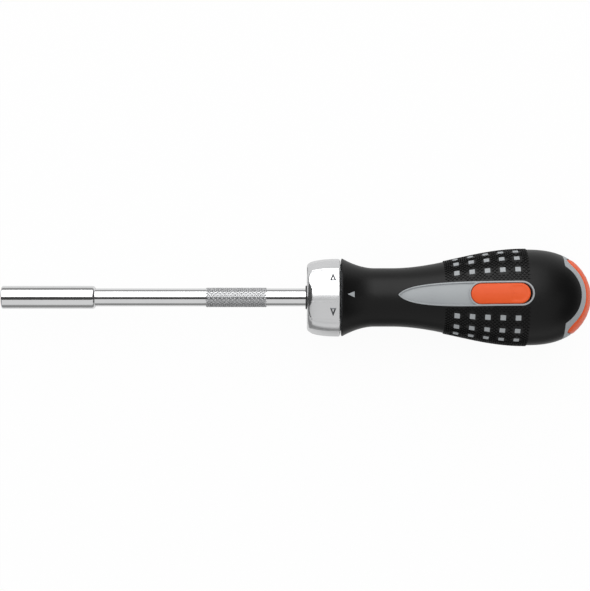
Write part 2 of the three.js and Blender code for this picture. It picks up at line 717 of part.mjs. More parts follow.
function handleCore() {
  const outer = handleBody(0);
  const panel = handleBody(-PANEL_PROUD).intersect(upright(panelShape(0), 0, 2 * bellyRadius));
  const blank = join([
    handleBody(GRIP_THICKNESS + SKIN_GAP),
    panel,
    dotPosts(0, DOT_PROUD),
    outer.intersect(indexMark(0)),
    outer.intersect(buttStrip(0)),
  ]);
  const field = upright(panelField(), 0, 2 * bellyRadius).subtract(handleBody(PANEL_RECESS - PANEL_PROUD));
  const trayRoom = roundedRectangle(trayHalfY + RUN_GAP, trayHalfZ + RUN_GAP, TRAY_ROUND + RUN_GAP);
  const slotHalf = LATCH_WIDTH / 2 + RUN_GAP;
  const slotBack = lugBack + TRAY_TRAVEL + RUN_GAP;
  const flat = spigotFlat + FIT_GAP;
  const spigot = rod(gripFront - OVERCUT, spigotBack + FIT_GAP, spigotRadius + FIT_GAP).intersect(
    box(gripFront - OVERCUT, spigotBack + OVERCUT, -flat, flat, -bellyRadius, bellyRadius));
  const cuts = [
    spigot,
    field,
    rod(springFloor, trayFront, ejectRadius + EJECT_WIRE / 2 + RUN_GAP),
    along(trayRoom, trayFront - RUN_GAP, handleEnd + OVERCUT),
    along(roundedRectangle(capHalfY + RUN_GAP, capHalfZ + RUN_GAP, CAP_ROUND + RUN_GAP),
      capFront - RUN_GAP, handleEnd + OVERCUT),
    upright(stadium(holeFront, holeBack, BUTTON_HOLE_WIDTH / 2), pocketFloor, 2 * bellyRadius, 8),
    box(lugFront - RUN_GAP, slotBack, -slotHalf, slotHalf, 0, pocketFloor + FIT_GAP),
    crossRod(buttonPinAt, buttonPinZ, BUTTON_PIN_DIAMETER / 2 + FIT_GAP, buttonPinHalf() + FIT_GAP),
  ];
  return cuts.reduce((left, cut) => left.subtract(cut), blank);
}

// The sunk field of the panel, inside its rim and ahead of the button.
function panelField() {
  const half = BUTTON_HOLE_WIDTH / 2;
  const tip = holeFront - PANEL_POINT + PANEL_FIELD_POINT;
  const back = holeFront - PANEL_RIM;
  const run = back + 4 - tip;
  const shape = new THREE.Shape();
  shape.moveTo(tip, 0);
  shape.bezierCurveTo(tip + 0.02 * run, -0.85 * half, tip + 0.42 * run, -0.97 * half, back + half, -half);
  shape.absarc(back + half, 0, half, -Math.PI / 2, Math.PI / 2, true);
  shape.bezierCurveTo(tip + 0.42 * run, 0.97 * half, tip + 0.02 * run, 0.85 * half, tip, 0);
  return shape;
}

function buttonPinHalf() {
  return BUTTON_HOLE_WIDTH / 2 + BUTTON_PIN_SEAT;
}

function grip() {
  const cuts = [
    handleBody(GRIP_THICKNESS),
    upright(panelShape(SKIN_GAP), 0, 2 * bellyRadius),
    dotPosts(SKIN_GAP, OVERCUT),
    indexMark(SKIN_GAP),
    buttStrip(SKIN_GAP),
  ];
  return cuts.reduce((left, cut) => left.subtract(cut), handleBody(0));
}

// Release button with its hook

function releaseButton() {
  const outline = stadium(holeFront + RUN_GAP, holeBack - BUTTON_BACK_GAP, BUTTON_HOLE_WIDTH / 2 - RUN_GAP);
  const pad = upright(outline, pocketFloor, 2 * bellyRadius, 8)
    .intersect(handleBody(BUTTON_SUNK))
    .subtract(handleBody(BUTTON_SUNK + BUTTON_THICKNESS));
  const half = LATCH_WIDTH / 2;
  const inPad = (x) => handleRadius(x) - BUTTON_SUNK - BUTTON_THICKNESS + 0.8;
  const bossHalf = BUTTON_HOLE_WIDTH / 2 - 3 * RUN_GAP;
  const boss = BUTTON_BOSS_RADIUS;
  const bossTop = inPad(buttonPinAt - boss) - 0.5;
  const shape = join([
    pad,
    box(hookFront, hookBack, -half, half, trayHalfZ + RUN_GAP, inPad(hookFront)),
    crossRod(buttonPinAt, buttonPinZ, boss, bossHalf),
    box(buttonPinAt - boss, buttonPinAt + boss, -bossHalf, bossHalf, buttonPinZ, bossTop),
  ]);
  const pinHole = BUTTON_PIN_DIAMETER / 2 + FIT_GAP;
  return shape.subtract(crossRod(buttonPinAt, buttonPinZ, pinHole, bossHalf + OVERCUT));
}

function buttonSpring() {
  const x = (buttonPinAt + holeBack) / 2 + 1;
  const top = handleRadius(x) - BUTTON_SUNK - BUTTON_THICKNESS - 2 * RUN_GAP;
  const height = top - pocketFloor - FIT_GAP;
  const wire = coil(height, BUTTON_SPRING_RADIUS, BUTTON_SPRING_WIRE, BUTTON_SPRING_TURNS);
  return solid(wire.rotateY(-Math.PI / 2).translate(x, 0, pocketFloor + FIT_GAP));
}

// Magazine

function magazineTray() {
  const envelope = along(roundedRectangle(trayHalfY, trayHalfZ, TRAY_ROUND), trayFront, bayBack);
  const inside = trayHalfY - TRAY_RAIL;
  const web = WEB_THICKNESS / 2;
  const past = trayHalfZ + OVERCUT;
  const bay = join([[web, past], [-past, -web]].map(([low, high]) =>
    box(bayFront, bayBack + OVERCUT, -inside, inside, low, high)));
  const ribs = TRAY_RIB_PLACES.map((share) => {
    const x = bayFront + share * BIT_LENGTH;
    return box(x, x + TRAY_RIB, -trayHalfY, trayHalfY, -trayHalfZ, trayHalfZ);
  });
  const notches = join(bitPlaces().map(([y, z]) => {
    const half = BIT_FLATS / 2 + FIT_GAP;
    const [low, high] = z > 0 ? [web, past] : [-past, -web];
    return box(bayFront, bayBack + OVERCUT, y - half, y + half, low, high);
  }));
  const half = LATCH_WIDTH / 2;
  const lug = box(lugFront, lugBack, -half, half, 0, lugTop);
  return join([envelope.subtract(bay), envelope.intersect(join(ribs)).subtract(notches), lug]);
}

function bitPlaces() {
  const places = [];
  for (const z of [bitHeight, -bitHeight]) {
    for (const column of [-1, 0, 1]) places.push([column * BIT_PITCH, z]);
  }
  return places;
}

function magazineCap() {
  const prism = along(roundedRectangle(capHalfY, capHalfZ, CAP_ROUND), capFront, handleEnd + OVERCUT);
  return prism.intersect(handleBody(0));
}

// A 25 mm hex bit with its base at x = 0. The tip is cut for slotted, cross or hex screws.
function hexBit(tip) {
  const neck = BIT_NECK * BIT_FLATS;
  const hexLength = BIT_HEX_SHARE * BIT_LENGTH;
  const body = along(hexShape(BIT_FLATS), 0, hexLength).intersect(turned([
    [0, 0],
    [0, bitCorner - BIT_CHAMFER],
    [BIT_CHAMFER, bitCorner],
    [hexLength - 1.5, bitCorner],
    [hexLength, neck],
    [hexLength, 0],
  ], 12));
  const from = hexLength - OVERCUT;
  if (tip === "hex") return body.add(along(hexShape(2 * neck), from, BIT_LENGTH));
  if (tip === "slot") {
    const blade = turned([[from, 0], [from, neck], [BIT_LENGTH - 3, 1.2 * neck], [BIT_LENGTH, 1.2 * neck],
      [BIT_LENGTH, 0]], 12);
    const wedge = new THREE.Shape();
    wedge.moveTo(-neck, from);
    wedge.lineTo(neck, from);
    wedge.lineTo(neck, BIT_LENGTH - 5);
    wedge.lineTo(0.4, BIT_LENGTH);
    wedge.lineTo(-0.4, BIT_LENGTH);
    wedge.lineTo(-neck, BIT_LENGTH - 5);
    const flat = new THREE.ExtrudeGeometry(wedge.closePath(), { depth: 6 * neck, bevelEnabled: false });
    const placed = flat.translate(0, 0, -3 * neck).rotateZ(-Math.PI / 2);
    return body.add(blade.intersect(solid(placed)));
  }
  const cone = BIT_LENGTH - neck;
  const end = 0.25 * neck;
  const point = turned([[from, 0], [from, neck], [cone, neck], [BIT_LENGTH, end], [BIT_LENGTH, 0]], 12);
  const [near, far] = [0.17 * neck, 1.5 * neck];
  const flute = box(-neck, far, near, far, near, far).rotate([0, 0, 12]).translate([cone, 0, 0]);
  const flutes = [0, 90, 180, 270].map((degrees) => flute.rotate([degrees, 0, 0]));
  return body.add(flutes.reduce((left, cut) => left.subtract(cut), point));
}

// Assembly

const spindle = new THREE.Group();
spindle.name = "spindle";
spindle.add(
  piece("bit_sleeve", bitSleeve(), chrome),
  piece("bit_magnet", rod(0, MAGNET_LENGTH, MAGNET_DIAMETER / 2, 16), steel),
  piece("drive_shaft", driveShaft(), chrome),
  piece("ratchet_gear", ratchetGear(), steel),
  piece("shaft_circlip", shaftCirclip(), springSteel),
);

const selector = new THREE.Group();
selector.name = "selector";
const ball = piece("selector_ball", solid(new THREE.IcosahedronGeometry(BALL_DIAMETER / 2, 1)), steel);
ball.position.set(gearMiddle(), 0, -ballAt);
const ballSpring = coil(BALL_SPRING_LENGTH - 2 * FIT_GAP, BALL_SPRING_RADIUS, BALL_SPRING_WIRE, 2.5);
ballSpring.rotateY(Math.PI / 2).translate(gearMiddle(), 0, -(ballAt + BALL_DIAMETER / 2 + FIT_GAP));
selector.add(
  piece("selector_ring", selectorRing(), chrome),
  ball,
  piece("selector_spring", solid(ballSpring), springSteel),
);

const handle = new THREE.Group();
handle.name = "handle";
const pinFront = coverBack - PAWL_PIN_SEAT + FIT_GAP;
const pin = rod(pinFront, housingBack - PAWL_PIN_SEAT - FIT_GAP, PAWL_PIN_DIAMETER / 2, 8);
const washer = tube(washerFront, washerFront + WASHER_THICKNESS, journalRadius + FIT_GAP, gearRoot, 16);
const ejectSpring = coil(EJECT_SPRING_LENGTH - 2 * FIT_GAP, ejectRadius, EJECT_WIRE, EJECT_TURNS);
ejectSpring.translate(springFloor + FIT_GAP, 0, 0);
handle.add(
  piece("handle_core", handleCore(), greyPlastic),
  piece("grip", grip(), rubber),
  piece("ratchet_housing", ratchetHousing(), steel),
  piece("housing_cover", housingCover(), steel),
  piece("thrust_washer", washer, steel),
  piece("front_bush", frontBush(), blackPlastic),
  piece("ring_snap", ringSnap(), springSteel),
  piece("pawl_pin", pin.translate([0, 0, -pawlPivot]), steel),
  piece("button_pin", crossRod(buttonPinAt, buttonPinZ, BUTTON_PIN_DIAMETER / 2, buttonPinHalf()), steel),
  piece("button_spring", buttonSpring(), springSteel),
  piece("eject_spring", solid(ejectSpring), springSteel),
);
screwPlaces().forEach(([y, z], i) => {
  const screw = piece(`cover_screw_${i + 1}`, coverScrew(), steel);
  screw.position.set(0, y, z);
  handle.add(screw);
});

const rocker = new THREE.Group();
rocker.name = "pawl_rocker";
rocker.add(piece("pawl", pawl(), steel));

const button = new THREE.Group();
button.name = "button";
button.add(piece("release_button", releaseButton(), orangePlastic));

const magazine = new THREE.Group();
magazine.name = "magazine";
magazine.add(
  piece("magazine_tray", magazineTray(), blackPlastic),
  piece("magazine_cap", magazineCap(), orangePlastic),
);
const tips = ["slot", "cross", "hex", "cross", "slot", "hex"];
bitPlaces().forEach(([y, z], i) => {
  const bit = piece(`bit_${i + 1}_${tips[i]}`, hexBit(tips[i]), steel);
  bit.position.set(bayFront + RUN_GAP, y, z);
  magazine.add(bit);
});

const screwdriver = new THREE.Group();
screwdriver.name = "bit_holder_screwdriver";
screwdriver.add(spindle, selector, handle, rocker, button, magazine);
export default screwdriver;
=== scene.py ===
# A ratchet screwdriver with a magnetic bit holder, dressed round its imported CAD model.
# Sizes are millimetres. X runs along the shaft towards the butt, and the release button is on top, at +Z.
import math

import bmesh
import bpy
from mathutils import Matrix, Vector


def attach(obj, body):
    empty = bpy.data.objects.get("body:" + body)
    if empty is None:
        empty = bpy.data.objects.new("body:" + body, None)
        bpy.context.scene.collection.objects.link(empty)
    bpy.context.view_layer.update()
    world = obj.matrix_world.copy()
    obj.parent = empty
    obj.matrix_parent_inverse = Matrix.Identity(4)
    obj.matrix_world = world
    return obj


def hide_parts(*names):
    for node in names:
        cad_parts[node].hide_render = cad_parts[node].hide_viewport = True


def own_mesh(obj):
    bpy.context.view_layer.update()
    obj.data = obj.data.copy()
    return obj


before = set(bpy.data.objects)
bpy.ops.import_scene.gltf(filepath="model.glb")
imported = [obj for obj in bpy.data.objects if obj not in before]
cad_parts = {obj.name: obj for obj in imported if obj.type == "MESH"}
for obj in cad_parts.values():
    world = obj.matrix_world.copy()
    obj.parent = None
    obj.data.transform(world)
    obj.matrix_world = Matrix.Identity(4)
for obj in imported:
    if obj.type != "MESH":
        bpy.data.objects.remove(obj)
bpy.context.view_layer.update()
MM = 0.001


# Camera: the tool was photographed from 0.8 m, almost straight above, with a long lens.
# The lens shows 236.4 mm of the plane through the shaft's axis.
view_tilt = math.radians(5.2)
view_distance = 800
view_aim = (105.3, 0.77, 0)
camera = bpy.data.objects.new("camera", bpy.data.cameras.new("camera"))
camera.data.sensor_width = 36
camera.data.lens = 36 * view_distance / 236.4
camera.location = (
    view_aim[0] * MM,
    (view_aim[1] - view_distance * math.sin(view_tilt)) * MM,
    view_distance * math.cos(view_tilt) * MM,
)
camera.rotation_euler = (view_tilt, 0, 0)
bpy.context.scene.collection.objects.link(camera)
bpy.context.scene.camera = camera


# Studio: a white table, a large soft lamp box on the far side and a weak one on the near side.
# Dark boards that only reflections show give the chrome its dark lines. The camera sees the table as white.
def linear(colour):
    """An sRGB hex colour as linear RGBA."""
    channels = [int(colour[i:i + 2], 16) / 255 for i in (1, 3, 5)]
    return [c / 12.92 if c <= 0.04045 else ((c + 0.055) / 1.055) ** 2.4 for c in channels] + [1]


def node(tree, kind, inputs=None, **settings):
    """Adds a node with its settings, and sets or links its inputs."""
    made = tree.nodes.new(kind)
    for name, value in settings.items():
        setattr(made, name, value)
    for key, value in (inputs or {}).items():
        if isinstance(value, bpy.types.NodeSocket):
            tree.links.new(value, made.inputs[key])
        else:
            made.inputs[key].default_value = value
    return made


def empty_material(name):
    """A material with no nodes yet, and its tree."""
    made = bpy.data.materials.new(name)
    made.use_nodes = True
    made.node_tree.nodes.clear()
    return made, made.node_tree


def plate(name, centre, half_a, half_b, finish):
    """A flat stage board (mm): its middle, and the two ways from there to the middles of its sides."""
    middle, a, b = (Vector(given) * MM for given in (centre, half_a, half_b))
    mesh = bpy.data.meshes.new(name)
    mesh.from_pydata([middle - a - b, middle + a - b, middle + a + b, middle - a + b], [], [(0, 1, 2, 3)])
    mesh.materials.append(finish)
    board = bpy.data.objects.new(name, mesh)
    bpy.context.scene.collection.objects.link(board)
    return board


def soft_light(name, angle, distance, size, radiance):
    """A lamp box in the plane across the tool, at an angle from straight up towards +Y."""
    lamp = bpy.data.lights.new(name, "AREA")
    lamp.shape = "RECTANGLE"
    lamp.size = size[0] * MM
    lamp.size_y = size[1] * MM
    lamp.energy = radiance * math.pi * lamp.size * lamp.size_y
    holder = bpy.data.objects.new(name, lamp)
    turn = math.radians(angle)
    spot = (view_aim[0], distance * math.sin(turn), distance * math.cos(turn))
    holder.location = Vector(spot) * MM
    holder.rotation_euler = (-turn, 0, 0)
    bpy.context.scene.collection.objects.link(holder)
    return holder


table_white, tree = empty_material("table_white_laminate")
rays = node(tree, "ShaderNodeLightPath")
seen = node(tree, "ShaderNodeMath", {0: rays.outputs["Is Camera Ray"], 1: rays.outputs["Is Glossy Ray"]},
            operation="MAXIMUM")
seen = node(tree, "ShaderNodeMath", {0: seen.outputs[0], 1: rays.outputs["Is Transmission Ray"]},
            operation="MAXIMUM")
share = node(tree, "ShaderNodeMath", {0: seen.outputs[0], 1: 0.95}, operation="MULTIPLY")
lit = node(tree, "ShaderNodeBsdfDiffuse", {"Color": linear("#F4F4F4")})
bright = node(tree, "ShaderNodeMapRange",
              {"Value": rays.outputs["Is Glossy Ray"], "To Min": 1.0, "To Max": 0.78})
glow = node(tree, "ShaderNodeEmission", {"Color": linear("#FFFFFF"), "Strength": bright.outputs[0]})
mixed = node(tree, "ShaderNodeMixShader", {0: share.outputs[0], 1: lit.outputs[0], 2: glow.outputs[0]})
node(tree, "ShaderNodeOutputMaterial", {"Surface": mixed.outputs[0]})
table_height = -19.6
plate("table", (view_aim[0], 0, table_height), (3000, 0, 0), (0, 3000, 0), table_white)


def felt(name, level):
    """A board's covering, as bright as it looks in a reflection."""
    made, tree = empty_material(name)
    shade = node(tree, "ShaderNodeEmission", {"Color": linear("#FFFFFF"), "Strength": level})
    node(tree, "ShaderNodeOutputMaterial", {"Surface": shade.outputs[0]})
    return made


far_felt = felt("felt_far", 0.3)
near_felt = felt("felt_near", 0.26)
dark_felt = felt("felt_dark", 0.05)
lamp_angle = 38.5
shaft_half, room_half = (600, 0, 0), (1200, 0, 0)
shaft_shown_end = 109.6
shaft_middle = shaft_shown_end - shaft_half[0]
beside, beside_distance, beside_half = math.radians(lamp_angle), 900, 650
boards = [
    plate("board_far", (shaft_middle, 12, 3.0), shaft_half, (0, 0, 2.8), far_felt),
    plate("board_above", (shaft_middle, -2.8, 11), shaft_half, (0, 2.3, 0), dark_felt),
    plate("board_near", (view_aim[0], -30, -8), room_half, (0, 0, 11.6), near_felt),
    plate("board_beside", (1000, beside_distance * math.sin(beside), beside_distance * math.cos(beside)),
          (560, 0, 0), (0, beside_half * math.cos(beside), -beside_half * math.sin(beside)), dark_felt),
    plate("board_left", (-500, 0, 290), (0, 700, 0), (0, 0, 305), dark_felt),
    plate("board_right", (700, -100, 240), (0, 700, 0), (0, 0, 255), dark_felt),
]
for board in boards:
    board.visible_camera = False
    board.visible_diffuse = False
    board.visible_shadow = False

soft_light("far_soft_light", lamp_angle, 1000, (2000, 1374), 1.0)
soft_light("far_gloss_light", lamp_angle, 990, (2000, 1340), 0.9).visible_diffuse = False
soft_light("near_soft_light", -54, 1000, (2000, 1000), 0.1)

world = bpy.data.worlds.new("studio")
bpy.context.scene.world = world
world.use_nodes = True
tree = world.node_tree
tree.nodes.clear()
rays = node(tree, "ShaderNodeLightPath")
level = node(tree, "ShaderNodeMapRange",
             {"Value": rays.outputs["Is Camera Ray"], "To Min": 0.6, "To Max": 1.0})
sky = node(tree, "ShaderNodeBackground", {"Color": linear("#FFFFFF"), "Strength": level.outputs[0]})
node(tree, "ShaderNodeOutputWorld", {"Surface": sky.outputs[0]})
bpy.context.scene.view_settings.view_transform = "Standard"


# Drive shaft: a 7.2 mm bar of tool steel, turned, polished and chromed, with a hex drive and a journal
# inside the ratchet. Its finger grip is a rolled diamond knurl, made of one small pyramid for each diamond.
def loft(name, rings, finish, loop=False, sharp=32):
    """Skins rings of points (mm), all of one count, into a closed piece.

    A loop joins the last ring to the first, and edges over the sharp angle stay hard."""
    count = len(rings[0])
    faces = []
    for k in range(len(rings) if loop else len(rings) - 1):
        a = k * count
        b = (k + 1) % len(rings) * count
        for i in range(count):
            j = (i + 1) % count
            faces.append((a + i, a + j, b + j, b + i))
    if not loop:
        last = (len(rings) - 1) * count
        faces.append(tuple(range(count)))
        faces.append(tuple(range(last, last + count)))
    mesh = bpy.data.meshes.new(name)
    mesh.from_pydata([Vector(point) * MM for ring in rings for point in ring], [], faces)
    shape = bmesh.new()
    shape.from_mesh(mesh)
    bmesh.ops.remove_doubles(shape, verts=shape.verts, dist=1e-6)
    bmesh.ops.recalc_face_normals(shape, faces=shape.faces)
    shape.to_mesh(mesh)
    shape.free()
    mesh.materials.append(finish)
    mesh.shade_smooth()
    mesh.set_sharp_from_angle(angle=math.radians(sharp))
    made = bpy.data.objects.new(name, mesh)
    bpy.context.scene.collection.objects.link(made)
    return made


def circle(x, radius, count=96):
    """A ring of points round the X axis, starting at +Z."""
    turns = [2 * math.pi * i / count for i in range(count)]
    return [(x, radius * math.sin(turn), radius * math.cos(turn)) for turn in turns]


def hexagon(x, flats, count=96):
    """A hexagonal ring with a corner at +Z, with its points at the same angles as a circle's."""
    points = []
    for i in range(count):
        turn = 2 * math.pi * i / count
        radius = flats / 2 / math.cos(turn % (math.pi / 3) - math.pi / 6)
        points.append((x, radius * math.sin(turn), radius * math.cos(turn)))
    return points


def stud_tree():
    """Geometry Nodes: one four-sided stud on each point, standing along the point's own direction."""
    tree = bpy.data.node_groups.new("studs", "GeometryNodeTree")
    tree.interface.new_socket("Points", in_out="INPUT", socket_type="NodeSocketGeometry")
    for name in ("Base Width", "Top Width", "Height", "Turn"):
        tree.interface.new_socket(name, in_out="INPUT", socket_type="NodeSocketFloat")
    tree.interface.new_socket("Finish", in_out="INPUT", socket_type="NodeSocketMaterial")
    tree.interface.new_socket("Studs", in_out="OUTPUT", socket_type="NodeSocketGeometry")
    given = node(tree, "NodeGroupInput").outputs
    stud = node(tree, "GeometryNodeMeshCone", {
        "Vertices": 4, "Radius Top": given["Top Width"], "Radius Bottom": given["Base Width"],
        "Depth": given["Height"]})
    turn = node(tree, "ShaderNodeCombineXYZ", {"Z": given["Turn"]})
    stud = node(tree, "GeometryNodeTransform",
                {"Geometry": stud.outputs["Mesh"], "Rotation": turn.outputs[0]})
    outwards = node(tree, "GeometryNodeInputNamedAttribute", {"Name": "outwards"}, data_type="FLOAT_VECTOR")
    upright = node(tree, "FunctionNodeAlignRotationToVector", {"Vector": outwards.outputs[0]}, axis="Z")
    in_line = node(tree, "FunctionNodeAlignRotationToVector",
                   {"Rotation": upright.outputs[0], "Vector": (1, 0, 0)}, axis="X", pivot_axis="Z")
    placed = node(tree, "GeometryNodeInstanceOnPoints", {
        "Points": given["Points"], "Instance": stud.outputs[0], "Rotation": in_line.outputs[0]})
    real = node(tree, "GeometryNodeRealizeInstances", {"Geometry": placed.outputs[0]})
    coated = node(tree, "GeometryNodeSetMaterial",
                  {"Geometry": real.outputs[0], "Material": given["Finish"]})
    node(tree, "NodeGroupOutput", {"Studs": coated.outputs[0]})
    return tree


studs_tree = stud_tree()


def studs(name, places, finish, base, top, height, turn=0.0):
    """Stands a stud on each (point, direction). Base and top are the half diagonals in mm."""
    mesh = bpy.data.meshes.new(name)
    mesh.from_pydata([Vector(point) * MM for point, direction in places], [], [])
    outwards = mesh.attributes.new("outwards", "FLOAT_VECTOR", "POINT")
    for i, (point, direction) in enumerate(places):
        outwards.data[i].vector = direction
    made = bpy.data.objects.new(name, mesh)
    bpy.context.scene.collection.objects.link(made)
    grown = made.modifiers.new("studs", "NODES")
    grown.node_group = studs_tree
    values = {"Base Width": base * MM, "Top Width": top * MM, "Height": height * MM, "Turn": turn,
              "Finish": finish}
    for socket in studs_tree.interface.items_tree:
        if socket.in_out == "INPUT" and socket.name in values:
            grown[socket.identifier] = values[socket.name]
    evaluated = made.evaluated_get(bpy.context.evaluated_depsgraph_get())
    real = bpy.data.meshes.new_from_object(evaluated)
    made.modifiers.clear()
    made.data = real
    return made


# Bright nickel-chrome plate over polished steel: a clean mirror, with faint lathe rings about 0.3 mm apart
# under the plate (finer in life, drawn this coarse to show) and a thin film of handling marks.
chrome, tree = empty_material("chrome_plate_polished")
place = node(tree, "ShaderNodeTexCoord")
film = node(tree, "ShaderNodeTexNoise", {"Vector": place.outputs["Object"], "Scale": 140, "Detail": 4})
gloss = node(tree, "ShaderNodeMapRange", {"Value": film.outputs[0], "To Min": 0.07, "To Max": 0.15})
tone = node(tree, "ShaderNodeMixRGB", {0: film.outputs[0], 1: linear("#EAEBEC"), 2: linear("#F2F2F2")})
rings_0_3_mm = 1 / 0.0003 / (2 * math.pi) * math.pi / 10
lathe = node(tree, "ShaderNodeTexWave", {"Vector": place.outputs["Object"], "Scale": rings_0_3_mm,
                                         "Distortion": 0.6, "Detail": 1},
             wave_type="BANDS", bands_direction="X")
ripple = node(tree, "ShaderNodeBump", {"Height": lathe.outputs[0], "Strength": 0.01, "Distance": 0.00002})
shader = node(tree, "ShaderNodeBsdfPrincipled", {
    "Base Color": tone.outputs[0], "Metallic": 1.0, "Roughness": gloss.outputs[0],
    "Normal": ripple.outputs[0]})
node(tree, "ShaderNodeOutputMaterial", {"Surface": shader.outputs[0]})

shaft_radius = 3.6
drive_flats = 5.976
journal_radius = 2.888
shaft_front, gear_front, gear_back, journal_end = 4.2, 114.0, 120.0, 136.8
chamfer = 0.4
shaft = loft("shaft", [
    circle(shaft_front, shaft_radius - chamfer),
    circle(shaft_front + chamfer, shaft_radius),
    circle(shaft_front + 2 * chamfer, shaft_radius),
    circle(gear_front - 2 * chamfer, shaft_radius),
    circle(gear_front - chamfer, shaft_radius),
    circle(gear_front, shaft_radius - chamfer / 2),
    hexagon(gear_front, drive_flats),
    hexagon(gear_back, drive_flats),
    circle(gear_back, journal_radius),
    circle(journal_end, journal_radius),
], chrome)
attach(shaft, "spindle")
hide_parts("drive_shaft")

# The knurl's plate is duller, because rolling leaves its faces rough. Its tone is painted darker in the
# valleys and lighter on the tops, as painted shade and painted highlight that draw the diamonds.
knurl_chrome, tree = empty_material("chrome_plate_knurled")
place = node(tree, "ShaderNodeTexCoord")
across = node(tree, "ShaderNodeVectorMath", {0: place.outputs["Object"], 1: (0, 1, 1)},
              operation="MULTIPLY")
radius = node(tree, "ShaderNodeVectorMath", {0: across.outputs[0]}, operation="LENGTH")
knurl_valley, knurl_top = 3.6, 3.88
# Painted shade and painted highlight: by distance from the axis, each pyramid goes from the darker valley
# grey at its foot to light grey at its top.
depth = node(tree, "ShaderNodeMapRange", {
    "Value": radius.outputs["Value"], "From Min": knurl_valley * MM, "From Max": knurl_top * MM})
film = node(tree, "ShaderNodeTexNoise", {"Vector": place.outputs["Object"], "Scale": 900, "Detail": 3})
painted_valley_shade = node(tree, "ShaderNodeMixRGB", {0: film.outputs[0], 1: linear("#A0A2A4"), 2: linear("#B2B4B6")})
tone = node(tree, "ShaderNodeMixRGB", {0: depth.outputs[0], 1: painted_valley_shade.outputs[0], 2: linear("#E6E6E7")})
gloss = node(tree, "ShaderNodeMapRange", {"Value": film.outputs[0], "To Min": 0.48, "To Max": 0.58})
shader = node(tree, "ShaderNodeBsdfPrincipled", {
    "Base Color": tone.outputs[0], "Metallic": 1.0, "Roughness": gloss.outputs[0]})
node(tree, "ShaderNodeOutputMaterial", {"Surface": shader.outputs[0]})

knurl_front, knurl_back = 69.9, 93.8
knurl_round, knurl_rows = 16, 28
knurl_step = (knurl_back - knurl_front) / knurl_rows
knurl_foot = 3.5
places = []
for row in range(knurl_rows):
    for column in range(knurl_round):
        turn = 2 * math.pi * (column + row % 2 / 2) / knurl_round
        up = (0, math.sin(turn), math.cos(turn))
        x = knurl_front + (row + 0.5) * knurl_step
        places.append(((x, knurl_foot * up[1], knurl_foot * up[2]), up))
knurl = studs("knurl", places, knurl_chrome, base=0.82, top=0.24, height=0.42)
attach(knurl, "spindle")


# Bit sleeve: a chromed steel tube pressed on the shaft's front end, broached to a 6.65 mm hex socket.
# Its mouth is chamfered, and a rounded shoulder ends it behind.
sleeve_radius = 4.6
sleeve_front, sleeve_back = -12.0, 25.5
socket_end, socket_flats = 4.1, 6.65
sleeve_bore = 3.7
mouth_chamfer = 0.45
shoulder_drop, shoulder_length = sleeve_radius - sleeve_bore, 1.4
sleeve_outline = []
for k in range(13):
    turn = math.pi / 2 * k / 12
    x = sleeve_back - shoulder_length * (1 - math.cos(turn))
    sleeve_outline.append((x, sleeve_bore + shoulder_drop * math.sin(turn)))
mouth = sleeve_front + mouth_chamfer
sleeve_outline += [
    (sleeve_back - shoulder_length - 0.3, sleeve_radius), (mouth + 0.4, sleeve_radius),
    (mouth + 0.1, sleeve_radius), (mouth - 0.05, sleeve_radius - 0.05),
    (sleeve_front + 0.05, sleeve_radius - mouth_chamfer),
    (sleeve_front, sleeve_radius - mouth_chamfer - 0.1),
]
sleeve = loft("sleeve", [circle(x, radius) for x, radius in sleeve_outline] + [
    hexagon(sleeve_front, socket_flats + 0.45),
    hexagon(sleeve_front + 0.5, socket_flats),
    hexagon(socket_end, socket_flats),
    circle(socket_end, sleeve_bore),
], chrome, loop=True)
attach(sleeve, "spindle")
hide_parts("bit_sleeve")


# Ratchet inside the handle: gear, pawl, pins, screws and housing, ground from tool steel and lightly oiled,
# with the magnet at the bottom of the socket. The springs and clips are drawn spring wire.
ground_steel, tree = empty_material("tool_steel_ground")
place = node(tree, "ShaderNodeTexCoord")
grain_0_2_mm = node(tree, "ShaderNodeMapping",
                    {"Vector": place.outputs["Object"], "Scale": (600, 5000, 5000)})
scratch = node(tree, "ShaderNodeTexNoise", {"Vector": grain_0_2_mm.outputs[0], "Scale": 1, "Detail": 3})
tone = node(tree, "ShaderNodeMixRGB", {0: scratch.outputs[0], 1: linear("#85888B"), 2: linear("#B4B6B8")})
gloss = node(tree, "ShaderNodeMapRange", {"Value": scratch.outputs[0], "To Min": 0.24, "To Max": 0.4})
cut = node(tree, "ShaderNodeBump", {"Height": scratch.outputs[0], "Strength": 0.15, "Distance": 0.00003})
shader = node(tree, "ShaderNodeBsdfPrincipled", {
    "Base Color": tone.outputs[0], "Metallic": 1.0, "Roughness": gloss.outputs[0],
    "Normal": cut.outputs[0]})
node(tree, "ShaderNodeOutputMaterial", {"Surface": shader.outputs[0]})

spring_wire, tree = empty_material("spring_steel_drawn")
place = node(tree, "ShaderNodeTexCoord")
draw = node(tree, "ShaderNodeTexNoise", {"Vector": place.outputs["Object"], "Scale": 900, "Detail": 2})
tone = node(tree, "ShaderNodeMixRGB", {0: draw.outputs[0], 1: linear("#6E7276"), 2: linear("#9A9EA2")})
gloss = node(tree, "ShaderNodeMapRange", {"Value": draw.outputs[0], "To Min": 0.2, "To Max": 0.34})
shader = node(tree, "ShaderNodeBsdfPrincipled", {
    "Base Color": tone.outputs[0], "Metallic": 1.0, "Roughness": gloss.outputs[0]})
node(tree, "ShaderNodeOutputMaterial", {"Surface": shader.outputs[0]})

for name in ("bit_magnet", "ratchet_gear", "pawl", "pawl_pin", "button_pin", "ratchet_housing",
             "housing_cover", "thrust_washer", "selector_ball", "cover_screw_1", "cover_screw_2",
             "cover_screw_3"):
    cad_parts[name].material_slots[0].material = ground_steel
for name in ("shaft_circlip", "ring_snap", "selector_spring", "eject_spring"):
    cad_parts[name].material_slots[0].material = spring_wire


